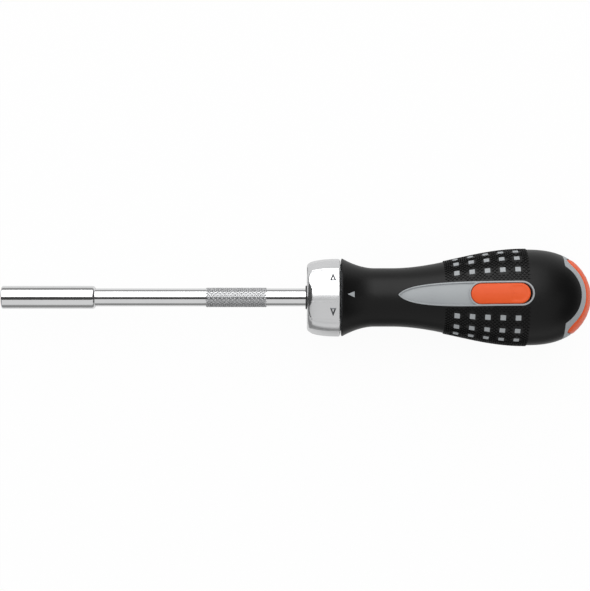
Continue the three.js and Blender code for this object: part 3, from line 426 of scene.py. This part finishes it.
# Front bush: a moulded collar of black acetal between the shaft and the ring.
# The spark-eroded mould leaves a fine satin grain on it.
black_plastic, tree = empty_material("black_acetal_moulded")
place = node(tree, "ShaderNodeTexCoord")
spark = node(tree, "ShaderNodeTexNoise", {"Vector": place.outputs["Object"], "Scale": 2500, "Detail": 3})
tone = node(tree, "ShaderNodeMixRGB", {0: spark.outputs[0], 1: linear("#131313"), 2: linear("#1F1F20")})
gloss = node(tree, "ShaderNodeMapRange", {"Value": spark.outputs[0], "To Min": 0.36, "To Max": 0.5})
skin = node(tree, "ShaderNodeBump", {"Height": spark.outputs[0], "Strength": 0.1, "Distance": 0.00004})
shader = node(tree, "ShaderNodeBsdfPrincipled", {
    "Base Color": tone.outputs[0], "Roughness": gloss.outputs[0], "IOR": 1.48, "Normal": skin.outputs[0]})
node(tree, "ShaderNodeOutputMaterial", {"Surface": shader.outputs[0]})

bush_bore, bush_radius = 3.7, 4.75
bush_front, bush_back, bush_edge = 109.5, 112.1, 0.3
bush = loft("bush", [
    circle(bush_front, bush_bore),
    circle(bush_front, bush_radius - bush_edge),
    circle(bush_front + 0.1, bush_radius - 0.08),
    circle(bush_front + bush_edge, bush_radius),
    circle(bush_back, bush_radius),
    circle(bush_back, bush_bore),
], black_plastic, loop=True)
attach(bush, "handle")
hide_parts("front_bush")


# Selector ring: a die-cast ring, tumbled and chromed, with seven flats for the fingers and a nut-like nose.
# Its reflections are softer than the shaft's. Two arrow heads, cast as thin ridges on the flats beside the
# index, show which way it drives.
cast_chrome, tree = empty_material("chrome_plate_cast")
place = node(tree, "ShaderNodeTexCoord")
film = node(tree, "ShaderNodeTexNoise", {"Vector": place.outputs["Object"], "Scale": 160, "Detail": 4})
fine = node(tree, "ShaderNodeTexNoise",
            {"Vector": place.outputs["Object"], "Scale": 1 / 0.0003, "Detail": 2})
gloss = node(tree, "ShaderNodeMapRange", {"Value": film.outputs[0], "To Min": 0.2, "To Max": 0.28})
tone = node(tree, "ShaderNodeMixRGB", {0: film.outputs[0], 1: linear("#DDDEDF"), 2: linear("#E6E6E7")})
tumbled = node(tree, "ShaderNodeBump", {"Height": fine.outputs[0], "Strength": 0.05, "Distance": 0.00003})
shader = node(tree, "ShaderNodeBsdfPrincipled", {
    "Base Color": tone.outputs[0], "Metallic": 1.0, "Roughness": gloss.outputs[0],
    "Normal": tumbled.outputs[0]})
node(tree, "ShaderNodeOutputMaterial", {"Surface": shader.outputs[0]})

ring_front, ring_inside, ring_back = 110.1, 111.9, 123.3
ring_flat, ring_body, ring_sides = 15.1, 15.633, 7
crown_drop, crown_power = 0.115, 2.8
ring_bore, ring_mouth = 10.8, 4.9
ring_nose = [(0, 13.0), (0.8, 13.72), (2.0, 14.5), (3.4, 15.0), (5.4, 16.0), (14, 16.0)]
seam_depth, seam_half = 0.16, 0.02
back_drop, back_run, front_drop, front_run = 0.5, 0.7, 0.3, 0.35


def ring_crown(x):
    """How much of its full size the ring has at a place along it: it narrows in a curve to its front."""
    return 1 - crown_drop * ((ring_back - x) / (ring_back - ring_front)) ** crown_power


def soft_least(a, b, soft):
    """The lesser of two lengths, rounded off where they meet."""
    return min(a, b) - soft * math.exp(-abs(a - b) / soft) / 2


def ring_radius(x, turn):
    """The ring's outside at a turn from +Z, where a corner is.

    It is a turned blank with a coned nose and seven flats, with a fine seam along both sides of each flat."""
    side = 2 * math.pi / ring_sides
    from_flat = turn % side - side / 2
    into = x - ring_front
    for (x0, r0), (x1, r1) in zip(ring_nose, ring_nose[1:]):
        if x0 <= into <= x1:
            cone = r0 + (r1 - r0) * (into - x0) / (x1 - x0)
    blank = soft_least(ring_flat / math.cos(from_flat), ring_body, 0.02) * ring_crown(x)
    from_seam = abs(from_flat) - math.acos(ring_flat / ring_body)
    blank -= seam_depth * math.exp(-(from_seam / seam_half) ** 2)
    back_round = back_drop * max(0, 1 - (ring_back - x) / back_run) ** 2
    front_round = front_drop * max(0, 1 - into / front_run) ** 2
    return soft_least(blank, cone, 0.06) - back_round - front_round


ring_steps = [0, 0.05, 0.12, 0.22, 0.35] + [0.6 + 0.2 * k for k in range(28)] + [6.5 + k for k in range(6)]
ring_steps += [12.2, 12.5, 12.7, 12.85, 13.0, 13.1, 13.2]
ring_count = 672
rings = [circle(ring_inside, ring_mouth, ring_count), circle(ring_front, ring_mouth, ring_count)]
for step in ring_steps:
    x = min(ring_front + step, ring_back)
    turns = [2 * math.pi * i / ring_count for i in range(ring_count)]
    radii = [ring_radius(x, turn) for turn in turns]
    rings.append([(x, r * math.sin(turn), r * math.cos(turn)) for r, turn in zip(radii, turns)])
rings += [circle(ring_back, ring_bore, ring_count), circle(ring_inside, ring_bore, ring_count)]
ring = loft("ring", rings, cast_chrome, loop=True, sharp=40)
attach(ring, "selector")
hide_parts("selector_ring")

# The ridges get a darker grey plate than the ring, and a rougher one, so they show as grey lines on the
# flats.
dull_chrome, tree = empty_material("chrome_plate_dull_lines")
place = node(tree, "ShaderNodeTexCoord")
film = node(tree, "ShaderNodeTexNoise", {"Vector": place.outputs["Object"], "Scale": 1500, "Detail": 2})
tone = node(tree, "ShaderNodeMixRGB", {0: film.outputs[0], 1: linear("#6C6E71"), 2: linear("#7E8083")})
shader = node(tree, "ShaderNodeBsdfPrincipled", {
    "Base Color": tone.outputs[0], "Metallic": 1.0, "Roughness": 0.32})
node(tree, "ShaderNodeOutputMaterial", {"Surface": shader.outputs[0]})

arrow_middle, arrow_base, arrow_length, arrow_line = 120.3, 2.6, 3.6, 0.6
arrow_shift, arrow_height, arrow_root = 0.5, 0.14, 0.2
arrow_inside = arrow_base * arrow_length / (arrow_base + 2 * math.hypot(arrow_base / 2, arrow_length))
for name, side in (("arrow_left", 1), ("arrow_right", -1)):
    flat_turn = side * math.pi / ring_sides
    corners = [(-arrow_base / 2, -arrow_length / 2), (arrow_base / 2, -arrow_length / 2),
               (0, arrow_length / 2)]
    ridge = [(0, -arrow_root), (0, 0), (arrow_line / 2, arrow_height), (arrow_line, 0),
             (arrow_line, -arrow_root)]
    rings = []
    for inset, height in ridge:
        shrink = 1 - inset / arrow_inside
        centre = arrow_inside - arrow_length / 2
        outline = []
        for along, across in corners:
            across = (across - centre) * shrink + centre + arrow_shift
            x = arrow_middle + along * shrink
            out = ring_flat * ring_crown(x) + height
            up = (math.sin(flat_turn), math.cos(flat_turn))
            outline.append((x, out * up[0] + side * across * up[1], out * up[1] - side * across * up[0]))
        rings.append(outline)
    arrow = loft(name, rings, dull_chrome, loop=True)
    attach(arrow, "selector")


# Handle core: one grey ABS moulding that carries everything, with the magazine's bay inside.
# It shows through the rubber as the pointed panel round the button, rows of square dots, an index mark
# and a strip round the butt.
grip_front, handle_end = 123.7, 223.3
neck_radius, belly_radius = 11.69, 19.155
belly_at, dome_length, dome_power = 196.6, 26.7, 2.63
neck_end, lip_rise, lip_length, lip_power = 143.7, 4.1, 13.2, 1.85
skin_depth = 2.35


def handle_radius(x):
    """The handle's outside: a flared lip, a neck, a swelling belly and a domed butt."""
    if x >= belly_at:
        share = min((x - belly_at) / dome_length, 1)
        return belly_radius * math.sqrt(1 - share ** dome_power)
    if x >= neck_end:
        turn = math.pi * (x - neck_end) / (belly_at - neck_end)
        return neck_radius + (belly_radius - neck_radius) * (1 - math.cos(turn)) / 2
    share = max(1 - (x - grip_front) / lip_length, 0)
    return neck_radius + lip_rise * share ** lip_power


def handle_normal(x, y, z):
    """The direction straight out of the handle at a point of its surface."""
    if x >= belly_at:
        share = min((x - belly_at) / dome_length, 1)
        slope = dome_power * share ** (dome_power - 1) / dome_length
        out = Vector((slope, 2 * y / belly_radius ** 2, 2 * z / belly_radius ** 2))
    else:
        step = 0.05
        rise = (handle_radius(x + step) - handle_radius(x - step)) / (2 * step)
        radius = math.hypot(y, z)
        out = Vector((-rise, y / radius, z / radius))
    return out.normalized()


def on_top(x, y, height):
    """A point at (x, y) seen from above: raised off the handle's top, or straight under it."""
    z = math.sqrt(max(handle_radius(x) ** 2 - y ** 2, 0))
    if height < 0:
        return Vector((x, y, z + height))
    return Vector((x, y, z)) + height * handle_normal(x, y, z)


def on_butt(y, z, height):
    """A point over the domed butt, seen from behind at (y, z), raised off its surface."""
    share = (1 - min((y * y + z * z) / belly_radius ** 2, 1)) ** (1 / dome_power)
    x = belly_at + dome_length * share
    return Vector((x, y, z)) + height * handle_normal(x, y, z)


def handle_ring(x, inset, count):
    """A ring round the handle, moved inwards off its surface."""
    out = handle_normal(x, 0, handle_radius(x))
    return circle(x - inset * out.x, handle_radius(x) - inset * out.z, count)


def upright_bar(name, outline, low, high, finish):
    """An outline of (x, y) points drawn out along Z."""
    return loft(name, [[(x, y, z) for x, y in outline] for z in (low, high)], finish)


def lying_bar(name, outline, front, back, finish):
    """An outline of (y, z) points drawn out along X."""
    return loft(name, [[(x, y, z) for y, z in outline] for x in (front, back)], finish)


def stadium(front, back, half, steps=16):
    """A slot's outline in X and Y, with points along its sides too."""
    points = []
    for middle, start in ((back - half, -math.pi / 2), (front + half, math.pi / 2)):
        for k in range(steps + 1):
            turn = start + math.pi * k / steps
            points.append((middle + half * math.cos(turn), half * math.sin(turn)))
        other = front + half if start < 0 else back - half
        side = half if start < 0 else -half
        points += [(middle + (other - middle) * k / steps, side) for k in range(1, steps)]
    return points


def rounded_rectangle(half_y, half_z, corner, steps=8):
    """An outline in Y and Z with quarter-round corners."""
    points = []
    for quarter in range(4):
        y = (half_y - corner) * (1, -1, -1, 1)[quarter]
        z = (half_z - corner) * (1, 1, -1, -1)[quarter]
        for k in range(steps + 1):
            turn = math.pi / 2 * (quarter + k / steps)
            points.append((y + corner * math.cos(turn), z + corner * math.sin(turn)))
    return points


def carve(made, cutters):
    """Cuts pieces out of a piece, and takes the cutters away."""
    for cutter in cutters:
        cut = made.modifiers.new("cut", "BOOLEAN")
        cut.object = cutter
        cut.solver = "EXACT"
    evaluated = made.evaluated_get(bpy.context.evaluated_depsgraph_get())
    real = bpy.data.meshes.new_from_object(evaluated)
    made.modifiers.clear()
    made.data = real
    for cutter in cutters:
        bpy.data.objects.remove(cutter)
    real.set_sharp_from_angle(angle=math.radians(32))


# Grey ABS from a spark-eroded mould: an even satin grain about 0.2 mm across, with faint clouds in its tone.
grey_abs, tree = empty_material("grey_abs_satin")
place = node(tree, "ShaderNodeTexCoord")
grain = node(tree, "ShaderNodeTexNoise",
             {"Vector": place.outputs["Object"], "Scale": 1 / 0.0002, "Detail": 2})
cloud = node(tree, "ShaderNodeTexNoise", {"Vector": place.outputs["Object"], "Scale": 60, "Detail": 2})
tone = node(tree, "ShaderNodeMixRGB", {0: cloud.outputs[0], 1: linear("#989C9F"), 2: linear("#A5A9AB")})
gloss = node(tree, "ShaderNodeMapRange", {"Value": cloud.outputs[0], "To Min": 0.42, "To Max": 0.55})
satin = node(tree, "ShaderNodeBump", {"Height": grain.outputs[0], "Strength": 0.12, "Distance": 0.00004})
shader = node(tree, "ShaderNodeBsdfPrincipled", {
    "Base Color": tone.outputs[0], "Roughness": gloss.outputs[0], "IOR": 1.53, "Normal": satin.outputs[0]})
node(tree, "ShaderNodeOutputMaterial", {"Surface": shader.outputs[0]})

spigot_back, spigot_bore = 145.7, 6.69
spring_floor, spring_room = 158.1, 5.95
tray_front, tray_half_y, tray_half_z, tray_corner = 175.8, 13.075, 8.675, 6.8
cap_front, cap_half_y, cap_half_z, cap_corner = 212.8, 14.575, 9.425, 4.0
cap_gap = 0.3
hole_front, hole_back, hole_half = 174.2, 198.3, 4.2
pocket_floor = 9.875
core_stops = [grip_front + 2.4 * k for k in range(41)] + [222.4, 223.0]
core = loft("core", [handle_ring(x, skin_depth, 64) for x in core_stops], grey_abs)
spigot_round = [point[1:] for point in circle(0, spigot_bore, 48)]
spring_round = [point[1:] for point in circle(0, spring_room, 48)]
tray_room = rounded_rectangle(tray_half_y, tray_half_z, tray_corner)
cap_room = rounded_rectangle(cap_half_y + cap_gap, cap_half_z + cap_gap, cap_corner + cap_gap)
carve(core, [
    lying_bar("cut", spigot_round, grip_front - 5, spigot_back, grey_abs),
    lying_bar("cut", spring_round, spring_floor, tray_front + 2, grey_abs),
    lying_bar("cut", tray_room, tray_front, handle_end + 2, grey_abs),
    lying_bar("cut", cap_room, cap_front - cap_gap, handle_end + 2, grey_abs),
    upright_bar("cut", stadium(hole_front, hole_back, hole_half), pocket_floor, 30, grey_abs),
])
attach(core, "handle")
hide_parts("handle_core")

panel_point, panel_side, panel_rim = 28.2, 3.0, 0.65
tip_pull, tip_rise, side_pull = 0.08, 0.62, 0.3


def panel_outline(grow, steps=40):
    """The panel's edge seen from above: two curved sides from a point to a round end, grown or shrunk."""
    half = hole_half + panel_rim + grow
    tip = hole_front - panel_point - grow
    back = hole_back + panel_rim + grow
    side = hole_front + panel_side
    run = side - tip
    curve = []
    for k in range(steps + 1):
        t = k / steps
        x = tip * (1 - t) ** 3 + 3 * (tip + tip_pull * run) * t * (1 - t) ** 2
        x += 3 * (tip + side_pull * run) * t * t * (1 - t) + side * t ** 3
        y = 3 * tip_rise * half * t * (1 - t) ** 2 + 3 * half * t * t * (1 - t) + half * t ** 3
        curve.append((x, y))
    straight = [(side + (back - half - side) * k / 12, half) for k in range(1, 12)]
    arc = []
    for k in range(21):
        turn = math.pi / 2 - math.pi * k / 20
        arc.append((back - half + half * math.cos(turn), half * math.sin(turn)))
    upper = curve + straight + arc[:10]
    return upper + [arc[10]] + [(x, -y) for x, y in reversed(upper[1:])]


rim_profile = [(0, -2.4), (0, 0.2), (0.05, 0.3), (0.15, 0.36), (0.48, 0.36), (0.58, 0.31), (0.63, 0.2),
               (panel_rim, 0), (panel_rim, -4.5)]
panel_frame = loft("panel_frame", [
    [on_top(x, y, height) for x, y in panel_outline(-inset)] for inset, height in rim_profile
], grey_abs, loop=True)
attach(panel_frame, "handle")

bar_middle = hole_front + hole_half
bar_sections = []
for k in range(33):
    turn = math.pi / 2 + math.pi * k / 32
    section = []
    for inset, height in rim_profile:
        reach = hole_half + panel_rim - inset
        section.append(on_top(bar_middle + reach * math.cos(turn), reach * math.sin(turn), height - 0.02))
    bar_sections.append(section)
panel_bar = loft("panel_bar", bar_sections, grey_abs)
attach(panel_bar, "handle")

field_height, field_floor, field_across = -0.25, -1.6, 9
field_reach = hole_half + panel_rim - 0.1
field_sections = []
for x, half in panel_outline(-0.55)[1:41]:
    spread = [half * (2 * k / (field_across - 1) - 1) for k in range(field_across)]
    spots = [(min(x, bar_middle - math.sqrt(field_reach ** 2 - y * y)), y) for y in spread]
    section = [on_top(x, y, field_height) for x, y in spots]
    section += [on_top(x, y, field_floor) for x, y in reversed(spots)]
    field_sections.append(section)
panel_field = loft("panel_field", field_sections, grey_abs)
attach(panel_field, "handle")

dot_first, dot_pitch, dot_columns = 169.1, 5.92, 5
dot_rows, dot_back_rows, dot_fan = [30.1, 48.7, 66.6], [40, 58.5], 0.46
dot_side, dot_proud, dot_root = 2.2, 0.2, 1.2
places = []
dot_spots = []
for column in range(dot_columns):
    x = dot_first + column * dot_pitch
    radius = handle_radius(x)
    fan = (belly_radius / radius) ** dot_fan
    rows = [fan * row for row in dot_rows] + [180 - fan * row for row in dot_back_rows]
    for degrees in rows + [-row for row in rows]:
        turn = math.radians(degrees)
        spot = Vector((x, radius * math.sin(turn), radius * math.cos(turn)))
        out = handle_normal(*spot)
        dot_spots.append(spot)
        places.append((spot - dot_root * out, out))
dots = studs("dots", places, grey_abs, base=dot_side / math.sqrt(2), top=dot_side / math.sqrt(2) * 0.985,
             height=dot_root + dot_proud, turn=math.pi / 4)
soften = dots.modifiers.new("soft_edges", "BEVEL")
soften.width = 0.12 * MM
soften.segments = 2
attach(dots, "handle")

index_front, index_back, index_half = 125.95, 128.75, 1.2
corners = [(index_front, 0), (index_back, -index_half), (index_back, index_half)]
outline = []
for (x0, y0), (x1, y1) in zip(corners, corners[1:] + corners[:1]):
    outline += [(x0 + (x1 - x0) * k / 6, y0 + (y1 - y0) * k / 6) for k in range(6)]
middle = (sum(x for x, y in corners) / 3, 0)
index_mark = loft("index_mark", [
    [on_top(middle[0] + (x - middle[0]) * scale, y * scale, height) for x, y in outline]
    for scale, height in ((1, -2.4), (1, 0.05), (0.95, 0.1), (0.5, 0.1), (0.05, 0.1))
], grey_abs)
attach(index_mark, "handle")

strip_front, strip_half = 211.9, 12.33
strip_count = 192


def edge_outline(inside):
    """The edge of a shape in Y and Z, found along rays from its middle."""
    points = []
    for i in range(strip_count):
        turn = 2 * math.pi * i / strip_count
        near, far = 0, 2 * belly_radius
        for _ in range(24):
            reach = (near + far) / 2
            if inside(reach * math.cos(turn), reach * math.sin(turn)):
                near = reach
            else:
                far = reach
        points.append((near * math.cos(turn), near * math.sin(turn)))
    return points


def in_rounded(half_y, half_z, corner):
    """A test for points inside a rectangle with round corners."""
    def inside(y, z):
        out_y = max(abs(y) - half_y + corner, 0)
        out_z = max(abs(z) - half_z + corner, 0)
        return math.hypot(out_y, out_z) < corner
    return inside


strip_reach = handle_radius(strip_front)
outer_edge = edge_outline(lambda y, z: math.hypot(y, z) < strip_reach and abs(z) < strip_half)
inner_edge = edge_outline(in_rounded(cap_half_y + cap_gap, cap_half_z + cap_gap, cap_corner + cap_gap))
strip_profile = [(0, -0.12), (0.06, -0.02), (0.2, 0), (0.5, 0), (0.8, 0), (0.96, -0.02), (1, -0.1), (1, -2.6)]
rings = [[(cap_front - cap_gap, y, z) for y, z in inner_edge]]
for share, height in strip_profile:
    rings.append([
        on_butt(y0 + (y1 - y0) * share, z0 + (z1 - z0) * share, height)
        for (y0, z0), (y1, z1) in zip(inner_edge, outer_edge)
    ])
butt_strip = loft("butt_strip", rings, grey_abs, loop=True)
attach(butt_strip, "handle")


# Grip: a skin of black soft rubber moulded over the core, 2.2 mm thick.
# A lattice of small blunt pyramids round the belly keeps the hand from slipping.
rubber, tree = empty_material("black_soft_rubber")
place = node(tree, "ShaderNodeTexCoord")
grain = node(tree, "ShaderNodeTexNoise",
             {"Vector": place.outputs["Object"], "Scale": 1 / 0.00025, "Detail": 3})
cloud = node(tree, "ShaderNodeTexNoise", {"Vector": place.outputs["Object"], "Scale": 45, "Detail": 3})
tone = node(tree, "ShaderNodeMixRGB", {0: cloud.outputs[0], 1: linear("#050505"), 2: linear("#0A0A0A")})
gloss = node(tree, "ShaderNodeMapRange", {"Value": cloud.outputs[0], "To Min": 0.36, "To Max": 0.46})
matte = node(tree, "ShaderNodeBump", {"Height": grain.outputs[0], "Strength": 0.18, "Distance": 0.00005})
shader = node(tree, "ShaderNodeBsdfPrincipled", {
    "Base Color": tone.outputs[0], "Roughness": gloss.outputs[0], "IOR": 1.45, "Specular IOR Level": 0.3,
    "Normal": matte.outputs[0]})
node(tree, "ShaderNodeOutputMaterial", {"Surface": shader.outputs[0]})

grip_thickness, skin_gap = 2.2, 0.15
grip_round = 144
edge, grip_mouth = 0.45, 9.5
grip_rings = [circle(grip_front, grip_mouth, grip_round), circle(grip_front, 15.0, grip_round),
              circle(grip_front + 0.06, 15.26, grip_round), circle(grip_front + 0.2, 15.46, grip_round)]
grip_rings += [handle_ring(grip_front + edge + 0.7 * k, 0, grip_round) for k in range(28)]
grip_rings += [handle_ring(neck_end + 1.0 * k, 0, grip_round) for k in range(53)]
dome_stops = [belly_at + dome_length * math.sin(math.pi / 2 * k / 24) for k in range(25)]
grip_rings += [handle_ring(x, 0, grip_round) for x in dome_stops]
inner_rings = [handle_ring(grip_front + edge + 3 * k, grip_thickness, grip_round) for k in range(25)]
inner_rings += [handle_ring(x, grip_thickness, grip_round) for x in dome_stops[:-2]]
grip = loft("grip_skin", grip_rings, rubber)
hollow = loft("cut", [circle(grip_front - 3, grip_mouth - 0.01, grip_round)] + inner_rings, rubber)
reach = 2 * belly_radius
butt_outline = [(strip_front - skin_gap, -strip_half - skin_gap), (handle_end + 5, -strip_half - skin_gap),
                (handle_end + 5, strip_half + skin_gap), (strip_front - skin_gap, strip_half + skin_gap)]
butt_cut = loft("cut", [[(x, y, z) for x, z in butt_outline] for y in (-reach, reach)], rubber)
panel_cut = upright_bar("cut", panel_outline(skin_gap), 0, reach, rubber)
carve(grip, [hollow, panel_cut, butt_cut])
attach(grip, "handle")
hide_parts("grip")

lattice_front, lattice_back, lattice_rows, lattice_round = 164.5, 197.3, 40, 70
lattice_step = (lattice_back - lattice_front) / lattice_rows
lattice_sunk = 0.06
panel_clear, dot_clear = 5.6, 2.0
places = []
for row in range(lattice_rows):
    x = lattice_front + (row + 0.5) * lattice_step
    radius = handle_radius(x)
    for column in range(lattice_round):
        turn = 2 * math.pi * (column + row % 2 / 2) / lattice_round
        spot = Vector((x, radius * math.sin(turn), radius * math.cos(turn)))
        by_panel = spot.z > 0 and abs(spot.y) < panel_clear
        by_dot = any((spot - dot).length < dot_clear for dot in dot_spots)
        if not by_panel and not by_dot:
            out = handle_normal(*spot)
            places.append((spot - lattice_sunk * out, out))
lattice = studs("grip_lattice", places, rubber, base=0.62, top=0.36, height=0.42)
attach(lattice, "handle")


# Release button: an orange ABS rocker in the panel's slot, with a shallow thumb dish at its rear end.
# It turns on a steel pin, and a hook under its front end holds the magazine.
orange_abs, tree = empty_material("orange_abs_satin")
place = node(tree, "ShaderNodeTexCoord")
grain = node(tree, "ShaderNodeTexNoise",
             {"Vector": place.outputs["Object"], "Scale": 1 / 0.0002, "Detail": 2})
cloud = node(tree, "ShaderNodeTexNoise", {"Vector": place.outputs["Object"], "Scale": 70, "Detail": 2})
tone = node(tree, "ShaderNodeMixRGB", {0: cloud.outputs[0], 1: linear("#E2531D"), 2: linear("#E85C26")})
gloss = node(tree, "ShaderNodeMapRange", {"Value": cloud.outputs[0], "To Min": 0.34, "To Max": 0.45})
satin = node(tree, "ShaderNodeBump", {"Height": grain.outputs[0], "Strength": 0.1, "Distance": 0.00004})
shader = node(tree, "ShaderNodeBsdfPrincipled", {
    "Base Color": tone.outputs[0], "Roughness": gloss.outputs[0], "IOR": 1.53, "Specular IOR Level": 0.25,
    "Normal": satin.outputs[0]})
node(tree, "ShaderNodeOutputMaterial", {"Surface": shader.outputs[0]})

button_front, button_back, button_half = 174.35, 197.4, 4.05
dish_front, dish_depth = 189.4, 0.3


def smooth(low, high, value):
    """0 below low, 1 above high, and an even curve between them."""
    share = min(max((value - low) / (high - low), 0), 1)
    return share * share * (3 - 2 * share)


def button_point(x, y, inset, height):
    """A point on the button's face, sunk where the thumb dish is."""
    dish = smooth(dish_front, dish_front + 1.2, x) * smooth(0.5, 1.6, inset)
    return on_top(x, y, height - dish_depth * dish)


button_profile = [(0, -2.3), (0, -0.2), (0.06, -0.06), (0.18, 0.02), (0.4, 0.08), (0.8, 0.12), (1.2, 0.15),
                  (1.6, 0.18), (2.2, 0.2), (3.0, 0.22), (4.04, 0.22)]
button = loft("button_pad", [
    [button_point(x, y, inset, height)
     for x, y in stadium(button_front + inset, button_back - inset, button_half - inset, 20)]
    for inset, height in button_profile
], orange_abs)
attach(button, "button")
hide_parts("release_button")

# The button's return spring, wound from 0.5 mm wire, is squeezed as the button goes down.
coil_x, coil_low, coil_high = 193.3, 10.27, 15.73
coil_radius, coil_wire, coil_turns, coil_steps = 2.3, 0.25, 4.5, 108
sections = []
for k in range(coil_steps + 1):
    turn = 2 * math.pi * coil_turns * k / coil_steps
    z = coil_low + (coil_high - coil_low) * k / coil_steps
    section = []
    for i in range(10):
        lean = 2 * math.pi * i / 10
        out = coil_radius + coil_wire * math.cos(lean)
        up = coil_wire * math.sin(lean)
        section.append((coil_x + out * math.cos(turn), out * math.sin(turn), z + up))
    sections.append(section)
coil = loft("button_coil", sections, spring_wire, sharp=60)
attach(coil, "handle")
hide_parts("button_spring")
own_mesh(coil)


# Magazine: an orange ABS cap that closes the butt, on a black tray that slides out with six spare bits.
# The cap's face carries on the dome, with a soft edge that stands a little proud.
cap_profile = [(0, None), (0, -0.1), (0.08, 0.03), (0.25, 0.1), (0.6, 0.12)]
rings = []
for inset, height in cap_profile:
    outline = edge_outline(in_rounded(cap_half_y - inset, cap_half_z - inset, cap_corner - inset))
    if height is None:
        rings.append([(cap_front, y, z) for y, z in outline])
    else:
        rings.append([on_butt(y, z, height) for y, z in outline])
for share in (0.9, 0.75, 0.55, 0.35, 0.15, 0.02):
    rings.append([on_butt(y * share, z * share, 0.12) for y, z in outline])
cap = loft("butt_cap", rings, orange_abs)
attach(cap, "magazine")
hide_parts("magazine_cap")

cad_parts["magazine_tray"].material_slots[0].material = black_plastic
for name in ("bit_1_slot", "bit_2_cross", "bit_3_hex", "bit_4_cross", "bit_5_slot", "bit_6_hex"):
    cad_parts[name].material_slots[0].material = ground_steel
